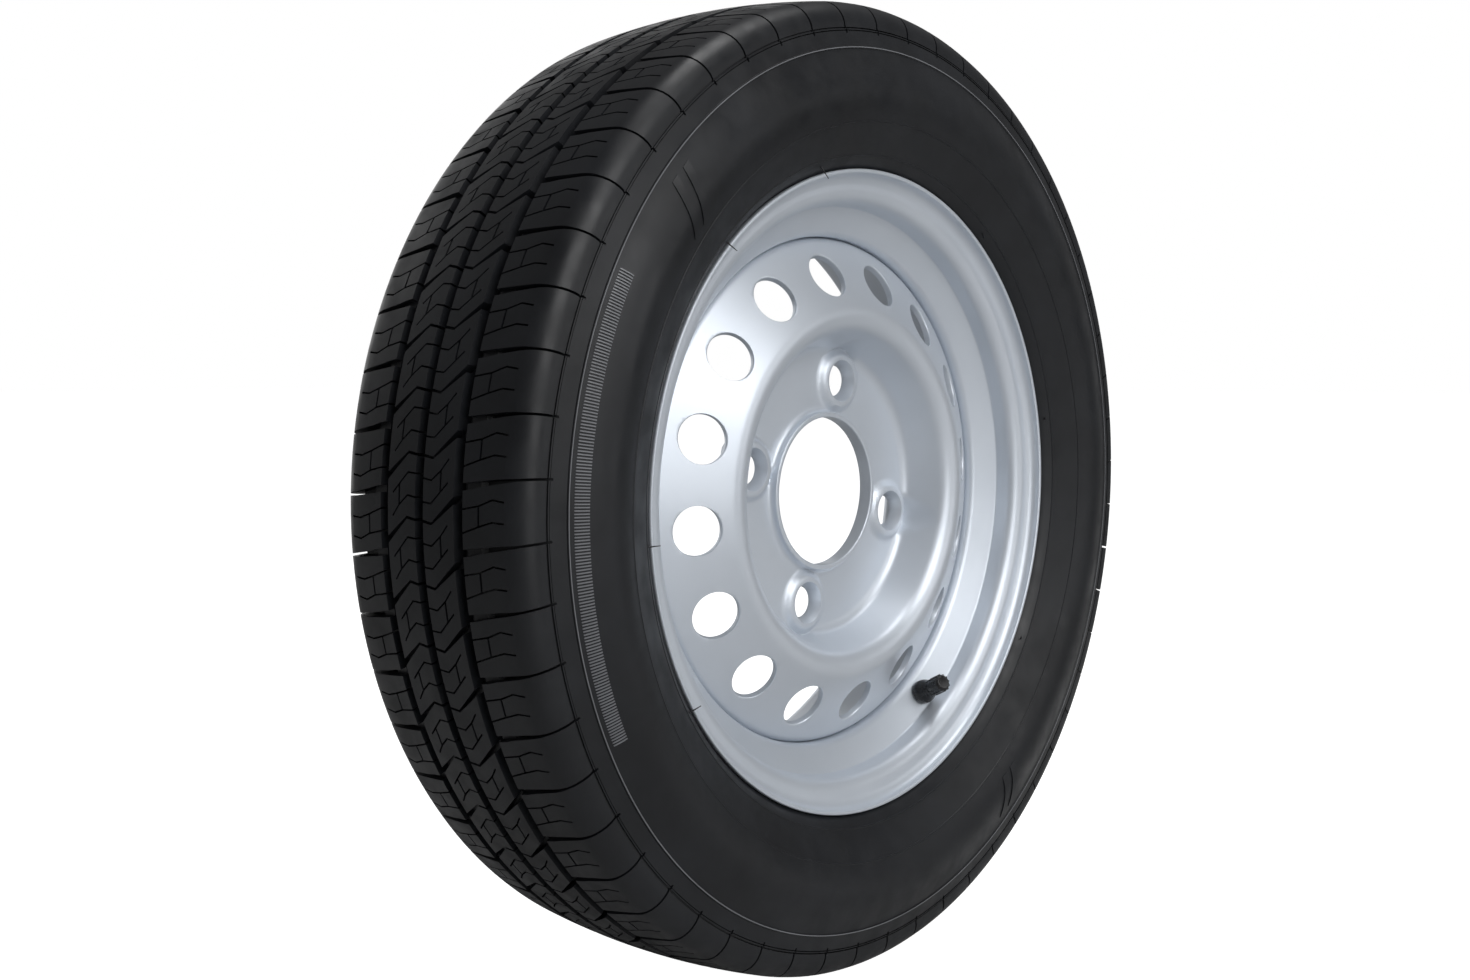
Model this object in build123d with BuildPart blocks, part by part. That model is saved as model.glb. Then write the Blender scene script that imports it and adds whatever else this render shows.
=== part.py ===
"""Pressed-steel disc wheel with a radial tyre and a snap-in valve.

Millimetres. The wheel axis is Y, the outboard face looks towards -Y, +Z is up and the origin is
the wheel's centre. Sections are drawn with X as radius and Y along the axis.
"""

from build123d import *
from math import asin, cos, degrees, radians, sin, sqrt, tan
import os

os.makedirs("parts", exist_ok=True)

# Tyre: outer form
TYRE_RADIUS = 273.5
SECTION_WIDTH = 155.0
WIDEST_RAISE = 5.9
LOWER_WALL_TUCK = 7.0
TREAD_WIDTH = 108.0
CROWN_RADIUS = 420.0
SHOULDER_WIDTH = 133.2
SHOULDER_DROP = 18.6
BUTTRESS_WIDTH = 138.8
BUTTRESS_DROP = 27.8
TREAD_GAUGE = 15.0
LINER_WIDTH = 80.0
SIDEWALL_GAUGE = 7.0
BUTTRESS_GAUGE = 11.0
BEAD_WIDTH = 12.0
BEAD_THICKNESS = 9.5
BEAD_GAP = 0.2
FLANGE_COVER = 70.0

# Tyre: tread pattern
MAIN_GROOVE_WIDTH = 6.0
MAIN_GROOVE_FLOOR = 4.4
MAIN_GROOVE_DEPTH = 7.5
MAIN_GROOVE_SPACING = 27.0
PITCH_COUNT = 56
RIB_GROOVE_DEPTH = 6.0
RIB_GROOVE_NARROW = 1.4
RIB_GROOVE_WIDE = 4.0
RIB_GROOVE_BEND = 6.0
RIB_GROOVE_BACK = 1.1
RIB_GROOVE_LEAN = 12.7
LATERAL_WIDTH = 3.4
LATERAL_DEPTH = 6.5
LATERAL_CLEARANCE = 6.0
LATERAL_START = 16.7
LATERAL_LEAN = 8.0

# Rim
BEAD_SEAT_RADIUS = 164.7
RIM_WIDTH = 101.6
FLANGE_HEIGHT = 15.8
FLANGE_LIP = 9.7
FLANGE_CURL_RADIUS = 8.5
HEEL_RADIUS = 6.0
RIM_SHEET = 2.4
SEAT_WIDTH = 13.5
SEAT_TAPER = 5.0
SEAT_END_RADIUS = 4.0
WELL_DEPTH = 17.3
WELL_OUTBOARD = 28.0
WELL_INBOARD = 12.0
WELL_RADIUS = 4.0
SHEET_EDGE_RADIUS = 0.9

# Disc
DISC_SHEET = 3.5
DISC_FIT = 0.1
WHEEL_OFFSET = 19.0
BORE_DIAMETER = 85.0
COLLAR_HEIGHT = 4.8
COLLAR_WALL = 3.0
COLLAR_FILLET = 3.0
PAD_RADIUS = 81.3
PAD_FILLET = 7.0
DISH_WALL_ANGLE = 24.0
CREST_RADIUS = 11.0
VENT_COUNT = 16
VENT_DIAMETER = 26.5
VENT_CIRCLE_RADIUS = 123.1
VENT_CIRCLE_SETBACK = 22.3
VENT_PHASE = -6.4
VENT_CONE_ANGLE = 30.0
DISC_EDGE_RADIUS = 8.0
DISC_FLANGE_LENGTH = 30.0

# Nut seats
LUG_COUNT = 4
LUG_CIRCLE_DIAMETER = 130.0
LUG_PHASE = 13.6
LUG_THROAT = 17.6
LUG_SEAT = 24.0
LUG_SEAT_ANGLE = 60.0
BOSS_HEIGHT = 3.6
BOSS_TOP = 28.0
BOSS_BASE = 38.0
POCKET_FLARE = 5.0
POCKET_HEIGHT = 16.0

# Welds
WELD_COUNT = 8
WELD_ARC = 24.0
WELD_LEG = 3.4
WELD_GAP = 0.05

# Valve, along its own axis from the middle of the rim sheet
VALVE_ANGLE = 146.5
VALVE_HOLE = 11.5
VALVE_NECK_GAP = 0.1
VALVE_SEAT_GAP = 0.1
BULB_RADIUS = 8.3
BULB_LENGTH = 7.0
BULB_BEVEL = 1.6
RUBBER_SHOULDER_RADIUS = 7.3
RUBBER_SHOULDER_LENGTH = 3.0
RUBBER_LENGTH = 14.0
RUBBER_TIP_RADIUS = 5.0
BOND_GAP = 0.05
STEM_LENGTH = 22.0
STEM_FOOT = 6.0
STEM_THREAD = 7.75
STEM_SHANK = 6.4
STEM_BEVEL = 0.5
CORE_BORE = 5.2
AIR_BORE = 3.8
CORE_SEAT_HEIGHT = 10.0
CORE_SEAT_LENGTH = 2.0
CORE_RECESS = 0.4
CORE_PLUG_LENGTH = 5.0
CORE_LENGTH = 13.0
CORE_TUBE = 3.5
CORE_TUBE_BORE = 2.6
CORE_LIP = 0.8
CORE_ROOF = 2.0
CORE_FIT = 0.05
PIN_DIAMETER = 0.9
PIN_GAP = 0.1
PIN_STOP_DIAMETER = 2.2
PIN_STOP_LENGTH = 0.6
SPRING_LENGTH = 4.6
SPRING_WIRE = 0.35
SPRING_DIAMETER = 1.75
SPRING_TURNS = 5
CUP_DIAMETER = 3.2
CUP_LENGTH = 1.2
FOOT_LENGTH = 0.6
CAP_DIAMETER = 10.0
CAP_CLEARANCE = 0.6
CAP_CROWN = 2.6
CAP_BEVEL = 1.2
CAP_FIT = 0.15
CAP_RIB_COUNT = 12
CAP_RIB_RADIUS = 0.5
GASKET_THICKNESS = 0.8

# Rim section values that other pieces share
half_rim = RIM_WIDTH / 2
flange_radius = BEAD_SEAT_RADIUS + FLANGE_HEIGHT
lip_plane = half_rim + FLANGE_LIP
seat_end_y = half_rim - SEAT_WIDTH
seat_end_radius = BEAD_SEAT_RADIUS - SEAT_WIDTH * tan(radians(SEAT_TAPER))
well_radius = BEAD_SEAT_RADIUS - WELL_DEPTH
well_inside = well_radius - RIM_SHEET

# Disc section values: the front surface of the sheet
disc_radius = well_inside - DISC_FIT
pad_back = -WHEEL_OFFSET
pad_front = pad_back - DISC_SHEET
collar_end = pad_front - COLLAR_HEIGHT
collar_radius = BORE_DIAMETER / 2 + COLLAR_WALL
vent_y = VENT_CIRCLE_SETBACK - lip_plane
cone_slope = tan(radians(VENT_CONE_ANGLE))
wall_slope = tan(radians(DISH_WALL_ANGLE))
edge_y = vent_y + cone_slope * (disc_radius - VENT_CIRCLE_RADIUS)
crest_y = (vent_y + cone_slope * (PAD_RADIUS + wall_slope * pad_front - VENT_CIRCLE_RADIUS)) / (
    1 + cone_slope * wall_slope
)
crest_r = PAD_RADIUS + wall_slope * (pad_front - crest_y)
flange_end = edge_y + DISC_FLANGE_LENGTH

# Valve place: the middle of the well's outboard wall, square to it
wall_dy = seat_end_y - WELL_OUTBOARD
wall_dr = seat_end_radius - well_radius
wall_length = sqrt(wall_dy**2 + wall_dr**2)
valve_lean = wall_dy / wall_length
valve_out = wall_dr / wall_length
valve_r = (seat_end_radius + well_radius) / 2 - valve_lean * RIM_SHEET / 2
valve_y = -(seat_end_y + WELL_OUTBOARD) / 2 - valve_out * RIM_SHEET / 2
spoke_x = sin(radians(VALVE_ANGLE))
spoke_z = cos(radians(VALVE_ANGLE))
valve_plane = Plane(
    origin=(valve_r * spoke_x, valve_y, valve_r * spoke_z),
    x_dir=(spoke_z, 0, -spoke_x),
    z_dir=(-valve_lean * spoke_x, -valve_out, -valve_lean * spoke_z),
)
valve_section = Plane(origin=valve_plane.origin, x_dir=valve_plane.x_dir, z_dir=-valve_plane.y_dir)
valve_axis = Axis(origin=valve_plane.origin, direction=valve_plane.z_dir)


def lug_planes(y: float) -> list[Plane]:
    """Planes at height y on the wheel's axis, one centred on each nut seat and looking outboard."""
    reach = LUG_CIRCLE_DIAMETER / 2
    turns = [radians(LUG_PHASE + 360 / LUG_COUNT * i) for i in range(LUG_COUNT)]
    return [Plane((reach * sin(t), y, reach * cos(t)), x_dir=(1, 0, 0), z_dir=(0, -1, 0)) for t in turns]


def around(solid: Part, count: int, phase: float = 0.0) -> list[Part]:
    """Copies of a solid turned about the wheel's axis."""
    return [solid.rotate(Axis.Y, phase + 360 / count * i) for i in range(count)]


# Rim: one rolled sheet, drawn along its tyre side and thickened towards the axis
with BuildPart() as rim:
    with BuildSketch() as rim_section:
        with BuildLine():
            FilletPolyline(
                (flange_radius, -lip_plane),
                (flange_radius, -half_rim),
                (BEAD_SEAT_RADIUS, -half_rim),
                (seat_end_radius, -seat_end_y),
                (well_radius, -WELL_OUTBOARD),
                (well_radius, WELL_INBOARD),
                (seat_end_radius, seat_end_y),
                (BEAD_SEAT_RADIUS, half_rim),
                (flange_radius, half_rim),
                (flange_radius, lip_plane),
                radius=[
                    FLANGE_CURL_RADIUS,
                    HEEL_RADIUS,
                    SEAT_END_RADIUS,
                    WELL_RADIUS,
                    WELL_RADIUS,
                    SEAT_END_RADIUS,
                    HEEL_RADIUS,
                    FLANGE_CURL_RADIUS,
                ],
            )
            offset(amount=RIM_SHEET, side=Side.LEFT)
        make_face()
        lips = rim_section.vertices().group_by(Axis.Y)
        fillet(lips[0] + lips[-1], SHEET_EDGE_RADIUS)
    revolve(axis=Axis.Y)
    with BuildSketch(valve_plane.offset(-RIM_SHEET * 2)):
        Circle(VALVE_HOLE / 2)
    extrude(amount=RIM_SHEET * 4, mode=Mode.SUBTRACT)

rim.part.label = "rim"
export_step(rim.part, "parts/rim.step")

# Disc: one pressed sheet, drawn along its front and thickened towards the inboard side
with BuildPart() as pocket_backing:
    with Locations(*lug_planes(pad_back)):
        Cone(
            bottom_radius=BOSS_BASE / 2 + DISC_SHEET,
            top_radius=BOSS_BASE / 2 + DISC_SHEET + POCKET_FLARE,
            height=POCKET_HEIGHT + DISC_SHEET,
            align=(Align.CENTER, Align.CENTER, Align.MIN),
        )
    with BuildSketch():
        with BuildLine():
            Polyline(
                (PAD_RADIUS - PAD_FILLET, pad_front),
                (PAD_RADIUS, pad_front),
                (crest_r, crest_y),
                (crest_r, pad_back),
                (PAD_RADIUS - PAD_FILLET, pad_back),
                close=True,
            )
        make_face()
    revolve(axis=Axis.Y, mode=Mode.INTERSECT)

with BuildPart() as boss:
    with BuildSketch():
        with BuildLine():
            mound = Spline(
                (BOSS_BASE / 2, 0),
                (BOSS_TOP / 2, BOSS_HEIGHT),
                tangents=((-1, 0), (-1, 0)),
            )
            Polyline(
                mound @ 1,
                (0, BOSS_HEIGHT),
                (0, -DISC_SHEET / 2),
                (BOSS_BASE / 2, -DISC_SHEET / 2),
                mound @ 0,
            )
        make_face()
    revolve(axis=Axis.Y)

with BuildPart() as vent_punch:
    vent_plane = Plane(
        (0, vent_y, VENT_CIRCLE_RADIUS),
        x_dir=(1, 0, 0),
        z_dir=(0, -cos(radians(VENT_CONE_ANGLE)), sin(radians(VENT_CONE_ANGLE))),
    )
    with BuildSketch(vent_plane.offset(-DISC_SHEET * 2)):
        Circle(VENT_DIAMETER / 2)
    extrude(amount=DISC_SHEET * 4)

with BuildPart() as wheel_disc:
    with BuildSketch() as disc_section:
        with BuildLine():
            FilletPolyline(
                (BORE_DIAMETER / 2, pad_front),
                (PAD_RADIUS, pad_front),
                (crest_r, crest_y),
                (disc_radius, edge_y),
                (disc_radius, flange_end),
                radius=[PAD_FILLET, CREST_RADIUS, DISC_EDGE_RADIUS],
            )
            offset(amount=DISC_SHEET, side=Side.LEFT)
        make_face()
        with BuildLine():
            Polyline(
                (BORE_DIAMETER / 2, collar_end),
                (collar_radius, collar_end),
                (collar_radius, pad_back),
                (BORE_DIAMETER / 2, pad_back),
                close=True,
            )
        make_face()
        collar_foot = disc_section.vertices().sort_by_distance((collar_radius, pad_front, 0))[0]
        fillet(collar_foot, COLLAR_FILLET)
    revolve(axis=Axis.Y)
    add(pocket_backing.part)
    with Locations(*lug_planes(pad_front)):
        Cone(
            bottom_radius=BOSS_BASE / 2,
            top_radius=BOSS_BASE / 2 + POCKET_FLARE,
            height=POCKET_HEIGHT,
            align=(Align.CENTER, Align.CENTER, Align.MIN),
            mode=Mode.SUBTRACT,
        )
        add(boss.part, rotation=(90, 0, 0))
    with Locations(*lug_planes(pad_front - BOSS_HEIGHT)):
        CounterSinkHole(
            radius=LUG_THROAT / 2,
            counter_sink_radius=LUG_SEAT / 2,
            counter_sink_angle=LUG_SEAT_ANGLE,
            depth=BOSS_HEIGHT + DISC_SHEET * 2,
        )
    add(around(vent_punch.part, VENT_COUNT, VENT_PHASE), mode=Mode.SUBTRACT)

wheel_disc.part.label = "wheel_disc"
export_step(wheel_disc.part, "parts/wheel_disc.step")

# Welds: beads in the corner between the disc's inboard edge and the rim's well
with BuildPart() as bead:
    with BuildSketch():
        with BuildLine():
            corner = (well_inside - WELD_GAP, flange_end + WELD_GAP)
            along_rim = (corner[0], corner[1] + WELD_LEG)
            along_disc = (corner[0] - WELD_LEG, corner[1])
            Polyline(along_rim, corner, along_disc)
            RadiusArc(along_disc, along_rim, -WELD_LEG * 2)
        make_face()
    revolve(axis=Axis.Y, revolution_arc=WELD_ARC)

with BuildPart() as disc_welds:
    add(around(bead.part, WELD_COUNT))

disc_welds.part.label = "disc_welds"
export_step(disc_welds.part, "parts/disc_welds.step")

# Tyre: one moulded piece, drawn as half a section and mirrored, with its beads on the rim's seats
half_section = SECTION_WIDTH / 2
shoulder_r = TYRE_RADIUS - SHOULDER_DROP
buttress_r = TYRE_RADIUS - BUTTRESS_DROP
widest_r = (buttress_r + flange_radius) / 2 + WIDEST_RAISE
liner_radius = CROWN_RADIUS - TREAD_GAUGE
crown_centre = TYRE_RADIUS - CROWN_RADIUS
curl_centre = (flange_radius - FLANGE_CURL_RADIUS, half_rim + FLANGE_CURL_RADIUS)
toe_y = half_rim - BEAD_WIDTH
toe_r = BEAD_SEAT_RADIUS + BEAD_GAP - BEAD_WIDTH * tan(radians(SEAT_TAPER))


def tread_radius(y: float) -> float:
    """Radius of the crown at a distance y from the tyre's centre plane."""
    return crown_centre + sqrt(CROWN_RADIUS**2 - y**2)


with BuildPart() as rib_groove:
    bend_y = MAIN_GROOVE_WIDTH / 2 + RIB_GROOVE_BEND
    narrow = RIB_GROOVE_NARROW / 2
    wide = RIB_GROOVE_WIDE / 2
    with BuildSketch(Plane.XY.offset(tread_radius(MAIN_GROOVE_SPACING) - RIB_GROOVE_DEPTH)):
        with BuildLine():
            Polyline(
                (narrow, -MAIN_GROOVE_FLOOR / 2),
                (-narrow, -MAIN_GROOVE_FLOOR / 2),
                (-narrow - RIB_GROOVE_BACK, -bend_y),
                (RIB_GROOVE_LEAN - wide, -MAIN_GROOVE_SPACING),
                (RIB_GROOVE_LEAN + wide, -MAIN_GROOVE_SPACING),
                (narrow - RIB_GROOVE_BACK, -bend_y),
                close=True,
            )
        make_face()
    extrude(amount=RIB_GROOVE_DEPTH * 2)

with BuildPart() as lateral_groove:
    lateral_plane = Plane((LATERAL_START, -MAIN_GROOVE_SPACING, 0), x_dir=(0, -1, 0), z_dir=(-1, 0, 0))
    with BuildSketch(lateral_plane.rotated((0, LATERAL_LEAN, 0))):
        with BuildLine():
            shoulder_reach = SHOULDER_WIDTH / 2 - MAIN_GROOVE_SPACING
            tread_reach = TREAD_WIDTH / 2 - MAIN_GROOVE_SPACING
            Polyline(
                (0, tread_radius(MAIN_GROOVE_SPACING) - LATERAL_DEPTH),
                (tread_reach, tread_radius(TREAD_WIDTH / 2) - LATERAL_DEPTH),
                (shoulder_reach, shoulder_r),
                (shoulder_reach + LATERAL_CLEARANCE, TYRE_RADIUS),
                (shoulder_reach, TYRE_RADIUS + LATERAL_CLEARANCE),
                (0, TYRE_RADIUS + LATERAL_CLEARANCE),
                close=True,
            )
        make_face()
    extrude(amount=LATERAL_WIDTH / 2, both=True)

with BuildPart() as tyre:
    with BuildSketch() as tyre_section:
        with BuildLine():
            crown = CenterArc(
                (crown_centre, 0), CROWN_RADIUS, 0, degrees(asin(TREAD_WIDTH / 2 / CROWN_RADIUS))
            )
            shoulder = TangentArc(crown @ 1, (shoulder_r, SHOULDER_WIDTH / 2), tangent=crown % 1)
            buttress = Line(shoulder @ 1, (buttress_r, BUTTRESS_WIDTH / 2))
            cover = CenterArc(
                curl_centre, FLANGE_CURL_RADIUS + BEAD_GAP, FLANGE_COVER - 90, -FLANGE_COVER
            )
            Spline(
                buttress @ 1,
                (widest_r, half_section),
                ((widest_r + flange_radius) / 2, half_section - LOWER_WALL_TUCK),
                cover @ 0,
                tangents=(buttress % 1, cover % 0),
            )
            heel = FilletPolyline(
                cover @ 1,
                (BEAD_SEAT_RADIUS + BEAD_GAP, half_rim - BEAD_GAP),
                (toe_r, toe_y),
                radius=HEEL_RADIUS,
            )
            liner = CenterArc(
                (crown_centre, 0), liner_radius, 0, degrees(asin(LINER_WIDTH / 2 / liner_radius))
            )
            toe = Line(heel @ 1, (flange_radius, half_rim - BEAD_THICKNESS))
            Spline(
                toe @ 1,
                (widest_r, half_section - SIDEWALL_GAUGE),
                (buttress_r, BUTTRESS_WIDTH / 2 - BUTTRESS_GAUGE),
                liner @ 1,
                tangents=(toe % 1, -(liner % 1)),
            )
            Line(liner @ 0, crown @ 0)
        make_face()
        mirror(about=Plane.XZ)
        for groove_y in (-MAIN_GROOVE_SPACING, 0, MAIN_GROOVE_SPACING):
            with BuildLine():
                floor_r = tread_radius(groove_y) - MAIN_GROOVE_DEPTH
                Polyline(
                    (floor_r, groove_y - MAIN_GROOVE_FLOOR / 2),
                    (floor_r, groove_y + MAIN_GROOVE_FLOOR / 2),
                    (TYRE_RADIUS + BEAD_GAP, groove_y + MAIN_GROOVE_WIDTH / 2),
                    (TYRE_RADIUS + BEAD_GAP, groove_y - MAIN_GROOVE_WIDTH / 2),
                    close=True,
                )
            make_face(mode=Mode.SUBTRACT)
    revolve(axis=Axis.Y)
    for groove in (rib_groove.part, lateral_groove.part):
        add(around(groove, PITCH_COUNT), mode=Mode.SUBTRACT)
        add(around(groove.rotate(Axis.Z, 180), PITCH_COUNT), mode=Mode.SUBTRACT)

tyre.part.label = "tyre"
export_step(tyre.part, "parts/tyre.step")

# Valve: a rubber body snapped into the rim, all of it turned about one axis
seat = RIM_SHEET / 2 + VALVE_SEAT_GAP
neck = VALVE_HOLE / 2 - VALVE_NECK_GAP
bulb_end = -seat - BULB_LENGTH
shank = STEM_SHANK / 2
thread = STEM_THREAD / 2
air = AIR_BORE / 2

with BuildPart() as valve_body:
    with BuildSketch(valve_section):
        with BuildLine():
            tip = (RUBBER_TIP_RADIUS, RUBBER_LENGTH)
            brow = (RUBBER_SHOULDER_RADIUS, seat + RUBBER_SHOULDER_LENGTH)
            Polyline(
                tip,
                (shank + BOND_GAP, RUBBER_LENGTH),
                (shank + BOND_GAP, -STEM_FOOT - BOND_GAP),
                (air, -STEM_FOOT - BOND_GAP),
                (air, bulb_end),
                (BULB_RADIUS - BULB_BEVEL, bulb_end),
                (BULB_RADIUS, bulb_end + BULB_BEVEL * 2),
                (BULB_RADIUS, -seat - BULB_BEVEL),
                (neck + VALVE_SEAT_GAP, -seat),
                (neck, -seat),
                (neck, seat),
                (neck + VALVE_SEAT_GAP, seat),
                (RUBBER_SHOULDER_RADIUS, seat + BULB_BEVEL),
                brow,
            )
            Spline(brow, tip, tangents=((0, 1), (0, 1)))
        make_face()
    revolve(axis=valve_axis)

valve_body.part.label = "valve_body"
export_step(valve_body.part, "parts/valve_body.step")

with BuildPart() as valve_stem:
    with BuildSketch(valve_section):
        with BuildLine():
            Polyline(
                (shank, -STEM_FOOT),
                (shank, RUBBER_LENGTH + BOND_GAP),
                (thread, RUBBER_LENGTH + BOND_GAP),
                (thread, STEM_LENGTH - STEM_BEVEL),
                (thread - STEM_BEVEL, STEM_LENGTH),
                (CORE_BORE / 2, STEM_LENGTH),
                (CORE_BORE / 2, CORE_SEAT_HEIGHT + CORE_SEAT_LENGTH),
                (air, CORE_SEAT_HEIGHT),
                (air, -STEM_FOOT),
                close=True,
            )
        make_face()
    revolve(axis=valve_axis)

valve_stem.part.label = "valve_stem"
export_step(valve_stem.part, "parts/valve_stem.step")

# Valve core: a threaded barrel with a sprung pin, sealed on the stem's taper
core_top = STEM_LENGTH - CORE_RECESS
core_end = core_top - CORE_LENGTH
plug_end = core_top - CORE_PLUG_LENGTH
spring_seat = core_end + CORE_LIP
tube = CORE_TUBE / 2
pin_radius = PIN_DIAMETER / 2

with BuildPart() as core_barrel:
    with BuildSketch(valve_section):
        with BuildLine():
            Polyline(
                (CORE_BORE / 2 - CORE_FIT, core_top),
                (CORE_BORE / 2 - CORE_FIT, plug_end),
                (tube, plug_end),
                (tube, core_end),
                (pin_radius + PIN_GAP, core_end),
                (pin_radius + PIN_GAP, spring_seat),
                (CORE_TUBE_BORE / 2, spring_seat),
                (CORE_TUBE_BORE / 2, core_top - CORE_ROOF),
                (pin_radius + PIN_GAP, core_top - CORE_ROOF),
                (pin_radius + PIN_GAP, core_top),
                close=True,
            )
        make_face()
    revolve(axis=valve_axis)

core_barrel.part.label = "core_barrel"
export_step(core_barrel.part, "parts/core_barrel.step")

with BuildPart() as core_seal:
    with BuildSketch(valve_section):
        with BuildLine():
            Polyline(
                (tube + CORE_FIT, CORE_SEAT_HEIGHT + CORE_FIT),
                (air - CORE_FIT, CORE_SEAT_HEIGHT + CORE_FIT),
                (CORE_BORE / 2 - CORE_FIT, CORE_SEAT_HEIGHT + CORE_SEAT_LENGTH),
                (tube + CORE_FIT, CORE_SEAT_HEIGHT + CORE_SEAT_LENGTH),
                close=True,
            )
        make_face()
    revolve(axis=valve_axis)

core_seal.part.label = "core_seal"
export_step(core_seal.part, "parts/core_seal.step")

with BuildPart() as core_pin:
    foot_top = core_end - CUP_LENGTH
    stop = spring_seat + SPRING_LENGTH
    with BuildSketch(valve_section):
        with BuildLine():
            Polyline(
                (0, core_top - PIN_GAP),
                (pin_radius, core_top - PIN_GAP),
                (pin_radius, stop + PIN_STOP_LENGTH),
                (PIN_STOP_DIAMETER / 2, stop + PIN_STOP_LENGTH),
                (PIN_STOP_DIAMETER / 2, stop),
                (pin_radius, stop),
                (pin_radius, foot_top),
                (CUP_DIAMETER / 2 - CORE_FIT, foot_top),
                (CUP_DIAMETER / 2 - CORE_FIT, foot_top - FOOT_LENGTH),
                (0, foot_top - FOOT_LENGTH),
                close=True,
            )
        make_face()
    revolve(axis=valve_axis)

core_pin.part.label = "core_pin"
export_step(core_pin.part, "parts/core_pin.step")

with BuildPart() as core_cup:
    with BuildSketch(valve_section):
        with BuildLine():
            Polyline(
                (pin_radius + CORE_FIT, foot_top),
                (CUP_DIAMETER / 2, foot_top),
                (CUP_DIAMETER / 2, core_end - CORE_FIT),
                (pin_radius + CORE_FIT, core_end - CORE_FIT),
                close=True,
            )
        make_face()
    revolve(axis=valve_axis)

core_cup.part.label = "core_cup"
export_step(core_cup.part, "parts/core_cup.step")

with BuildPart() as core_spring:
    coil_start = spring_seat + SPRING_WIRE / 2
    with BuildLine():
        coil = Helix(
            pitch=(SPRING_LENGTH - SPRING_WIRE) / SPRING_TURNS,
            height=SPRING_LENGTH - SPRING_WIRE,
            radius=SPRING_DIAMETER / 2,
            center=valve_plane.offset(coil_start).origin,
            direction=valve_plane.z_dir,
        )
    with BuildSketch(Plane(origin=coil @ 0, z_dir=coil % 0)):
        Circle(SPRING_WIRE / 2)
    sweep(is_frenet=True)

core_spring.part.label = "core_spring"
export_step(core_spring.part, "parts/core_spring.step")

# Valve cap with its gasket, screwed down on the stem's end
cap_foot = RUBBER_LENGTH + CAP_CLEARANCE
gasket_foot = STEM_LENGTH + BOND_GAP
cap_roof = gasket_foot + GASKET_THICKNESS + BOND_GAP
cap_end = cap_roof + CAP_CROWN

with BuildPart() as cap_gasket:
    with BuildSketch(valve_plane.offset(gasket_foot)):
        Circle(thread + CAP_FIT - BOND_GAP)
    extrude(amount=GASKET_THICKNESS)

cap_gasket.part.label = "cap_gasket"
export_step(cap_gasket.part, "parts/cap_gasket.step")

with BuildPart() as valve_cap:
    with BuildSketch(valve_section):
        with BuildLine():
            Polyline(
                (0, cap_end),
                (CAP_DIAMETER / 2 - CAP_BEVEL, cap_end),
                (CAP_DIAMETER / 2, cap_end - CAP_BEVEL),
                (CAP_DIAMETER / 2, cap_foot),
                (thread + CAP_FIT, cap_foot),
                (thread + CAP_FIT, cap_roof),
                (0, cap_roof),
                close=True,
            )
        make_face()
    revolve(axis=valve_axis)
    with BuildSketch(valve_plane.offset(cap_foot)):
        with PolarLocations(CAP_DIAMETER / 2, CAP_RIB_COUNT):
            Circle(CAP_RIB_RADIUS)
    extrude(amount=cap_end - cap_foot - CAP_BEVEL)

valve_cap.part.label = "valve_cap"
export_step(valve_cap.part, "parts/valve_cap.step")
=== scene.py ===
"""Looks of a pressed-steel disc wheel with a radial road tyre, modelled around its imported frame.

Metres, in the part's own frame: Y is the wheel's axis, the outboard face looks towards -Y and Z is up.
The classes hold their sizes in millimetres, as a maker's drawing does.
"""

import logging
import math
from dataclasses import dataclass, field
from enum import Enum
from typing import Callable, Iterable

import bmesh
import bpy
from mathutils import Matrix, Vector


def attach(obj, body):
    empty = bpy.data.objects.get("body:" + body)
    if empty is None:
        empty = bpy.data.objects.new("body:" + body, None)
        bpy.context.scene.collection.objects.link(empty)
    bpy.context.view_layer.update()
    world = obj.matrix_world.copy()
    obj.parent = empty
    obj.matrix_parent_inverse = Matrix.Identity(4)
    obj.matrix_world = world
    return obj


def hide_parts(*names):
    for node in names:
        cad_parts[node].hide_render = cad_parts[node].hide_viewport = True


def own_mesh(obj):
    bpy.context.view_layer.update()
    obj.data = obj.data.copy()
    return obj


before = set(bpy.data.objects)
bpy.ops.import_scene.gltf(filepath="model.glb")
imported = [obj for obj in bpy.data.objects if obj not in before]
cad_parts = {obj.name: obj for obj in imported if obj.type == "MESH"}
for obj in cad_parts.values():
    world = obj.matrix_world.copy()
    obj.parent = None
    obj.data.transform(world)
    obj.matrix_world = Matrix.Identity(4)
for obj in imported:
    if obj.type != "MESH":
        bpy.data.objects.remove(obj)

log = logging.getLogger("wheel")

MM = 0.001
ORIGIN = (0.0, 0.0, 0.0)
WHEEL_AXIS = (0.0, 1.0, 0.0)
LATHE_AXIS = (0.0, 0.0, 1.0)
EDGE_STEP = 30.0
NOISE_LOW = 0.35
NOISE_HIGH = 0.65
WELD = 0.00002
WHEEL_BODY = "wheel"

Point = tuple[float, float]
Color = tuple[float, float, float]
Shape = bpy.types.Object
Face = bmesh.types.BMFace
Socket = bpy.types.NodeSocket


class Cut(Enum):
    """What a boolean does with its tool."""

    AWAY = "DIFFERENCE"
    JOIN = "UNION"


def deselect() -> None:
    """Leaves edit mode and clears the selection."""
    if bpy.context.mode != "OBJECT":
        bpy.ops.object.mode_set(mode="OBJECT")
    bpy.ops.object.select_all(action="DESELECT")


def pick(*shapes: Shape) -> None:
    """Selects only these shapes and makes the first one active.

    Args:
        shapes: the shapes that the next operator works on.
    """
    deselect()
    for shape in shapes:
        shape.select_set(True)
    bpy.context.view_layer.objects.active = shapes[0]


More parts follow.
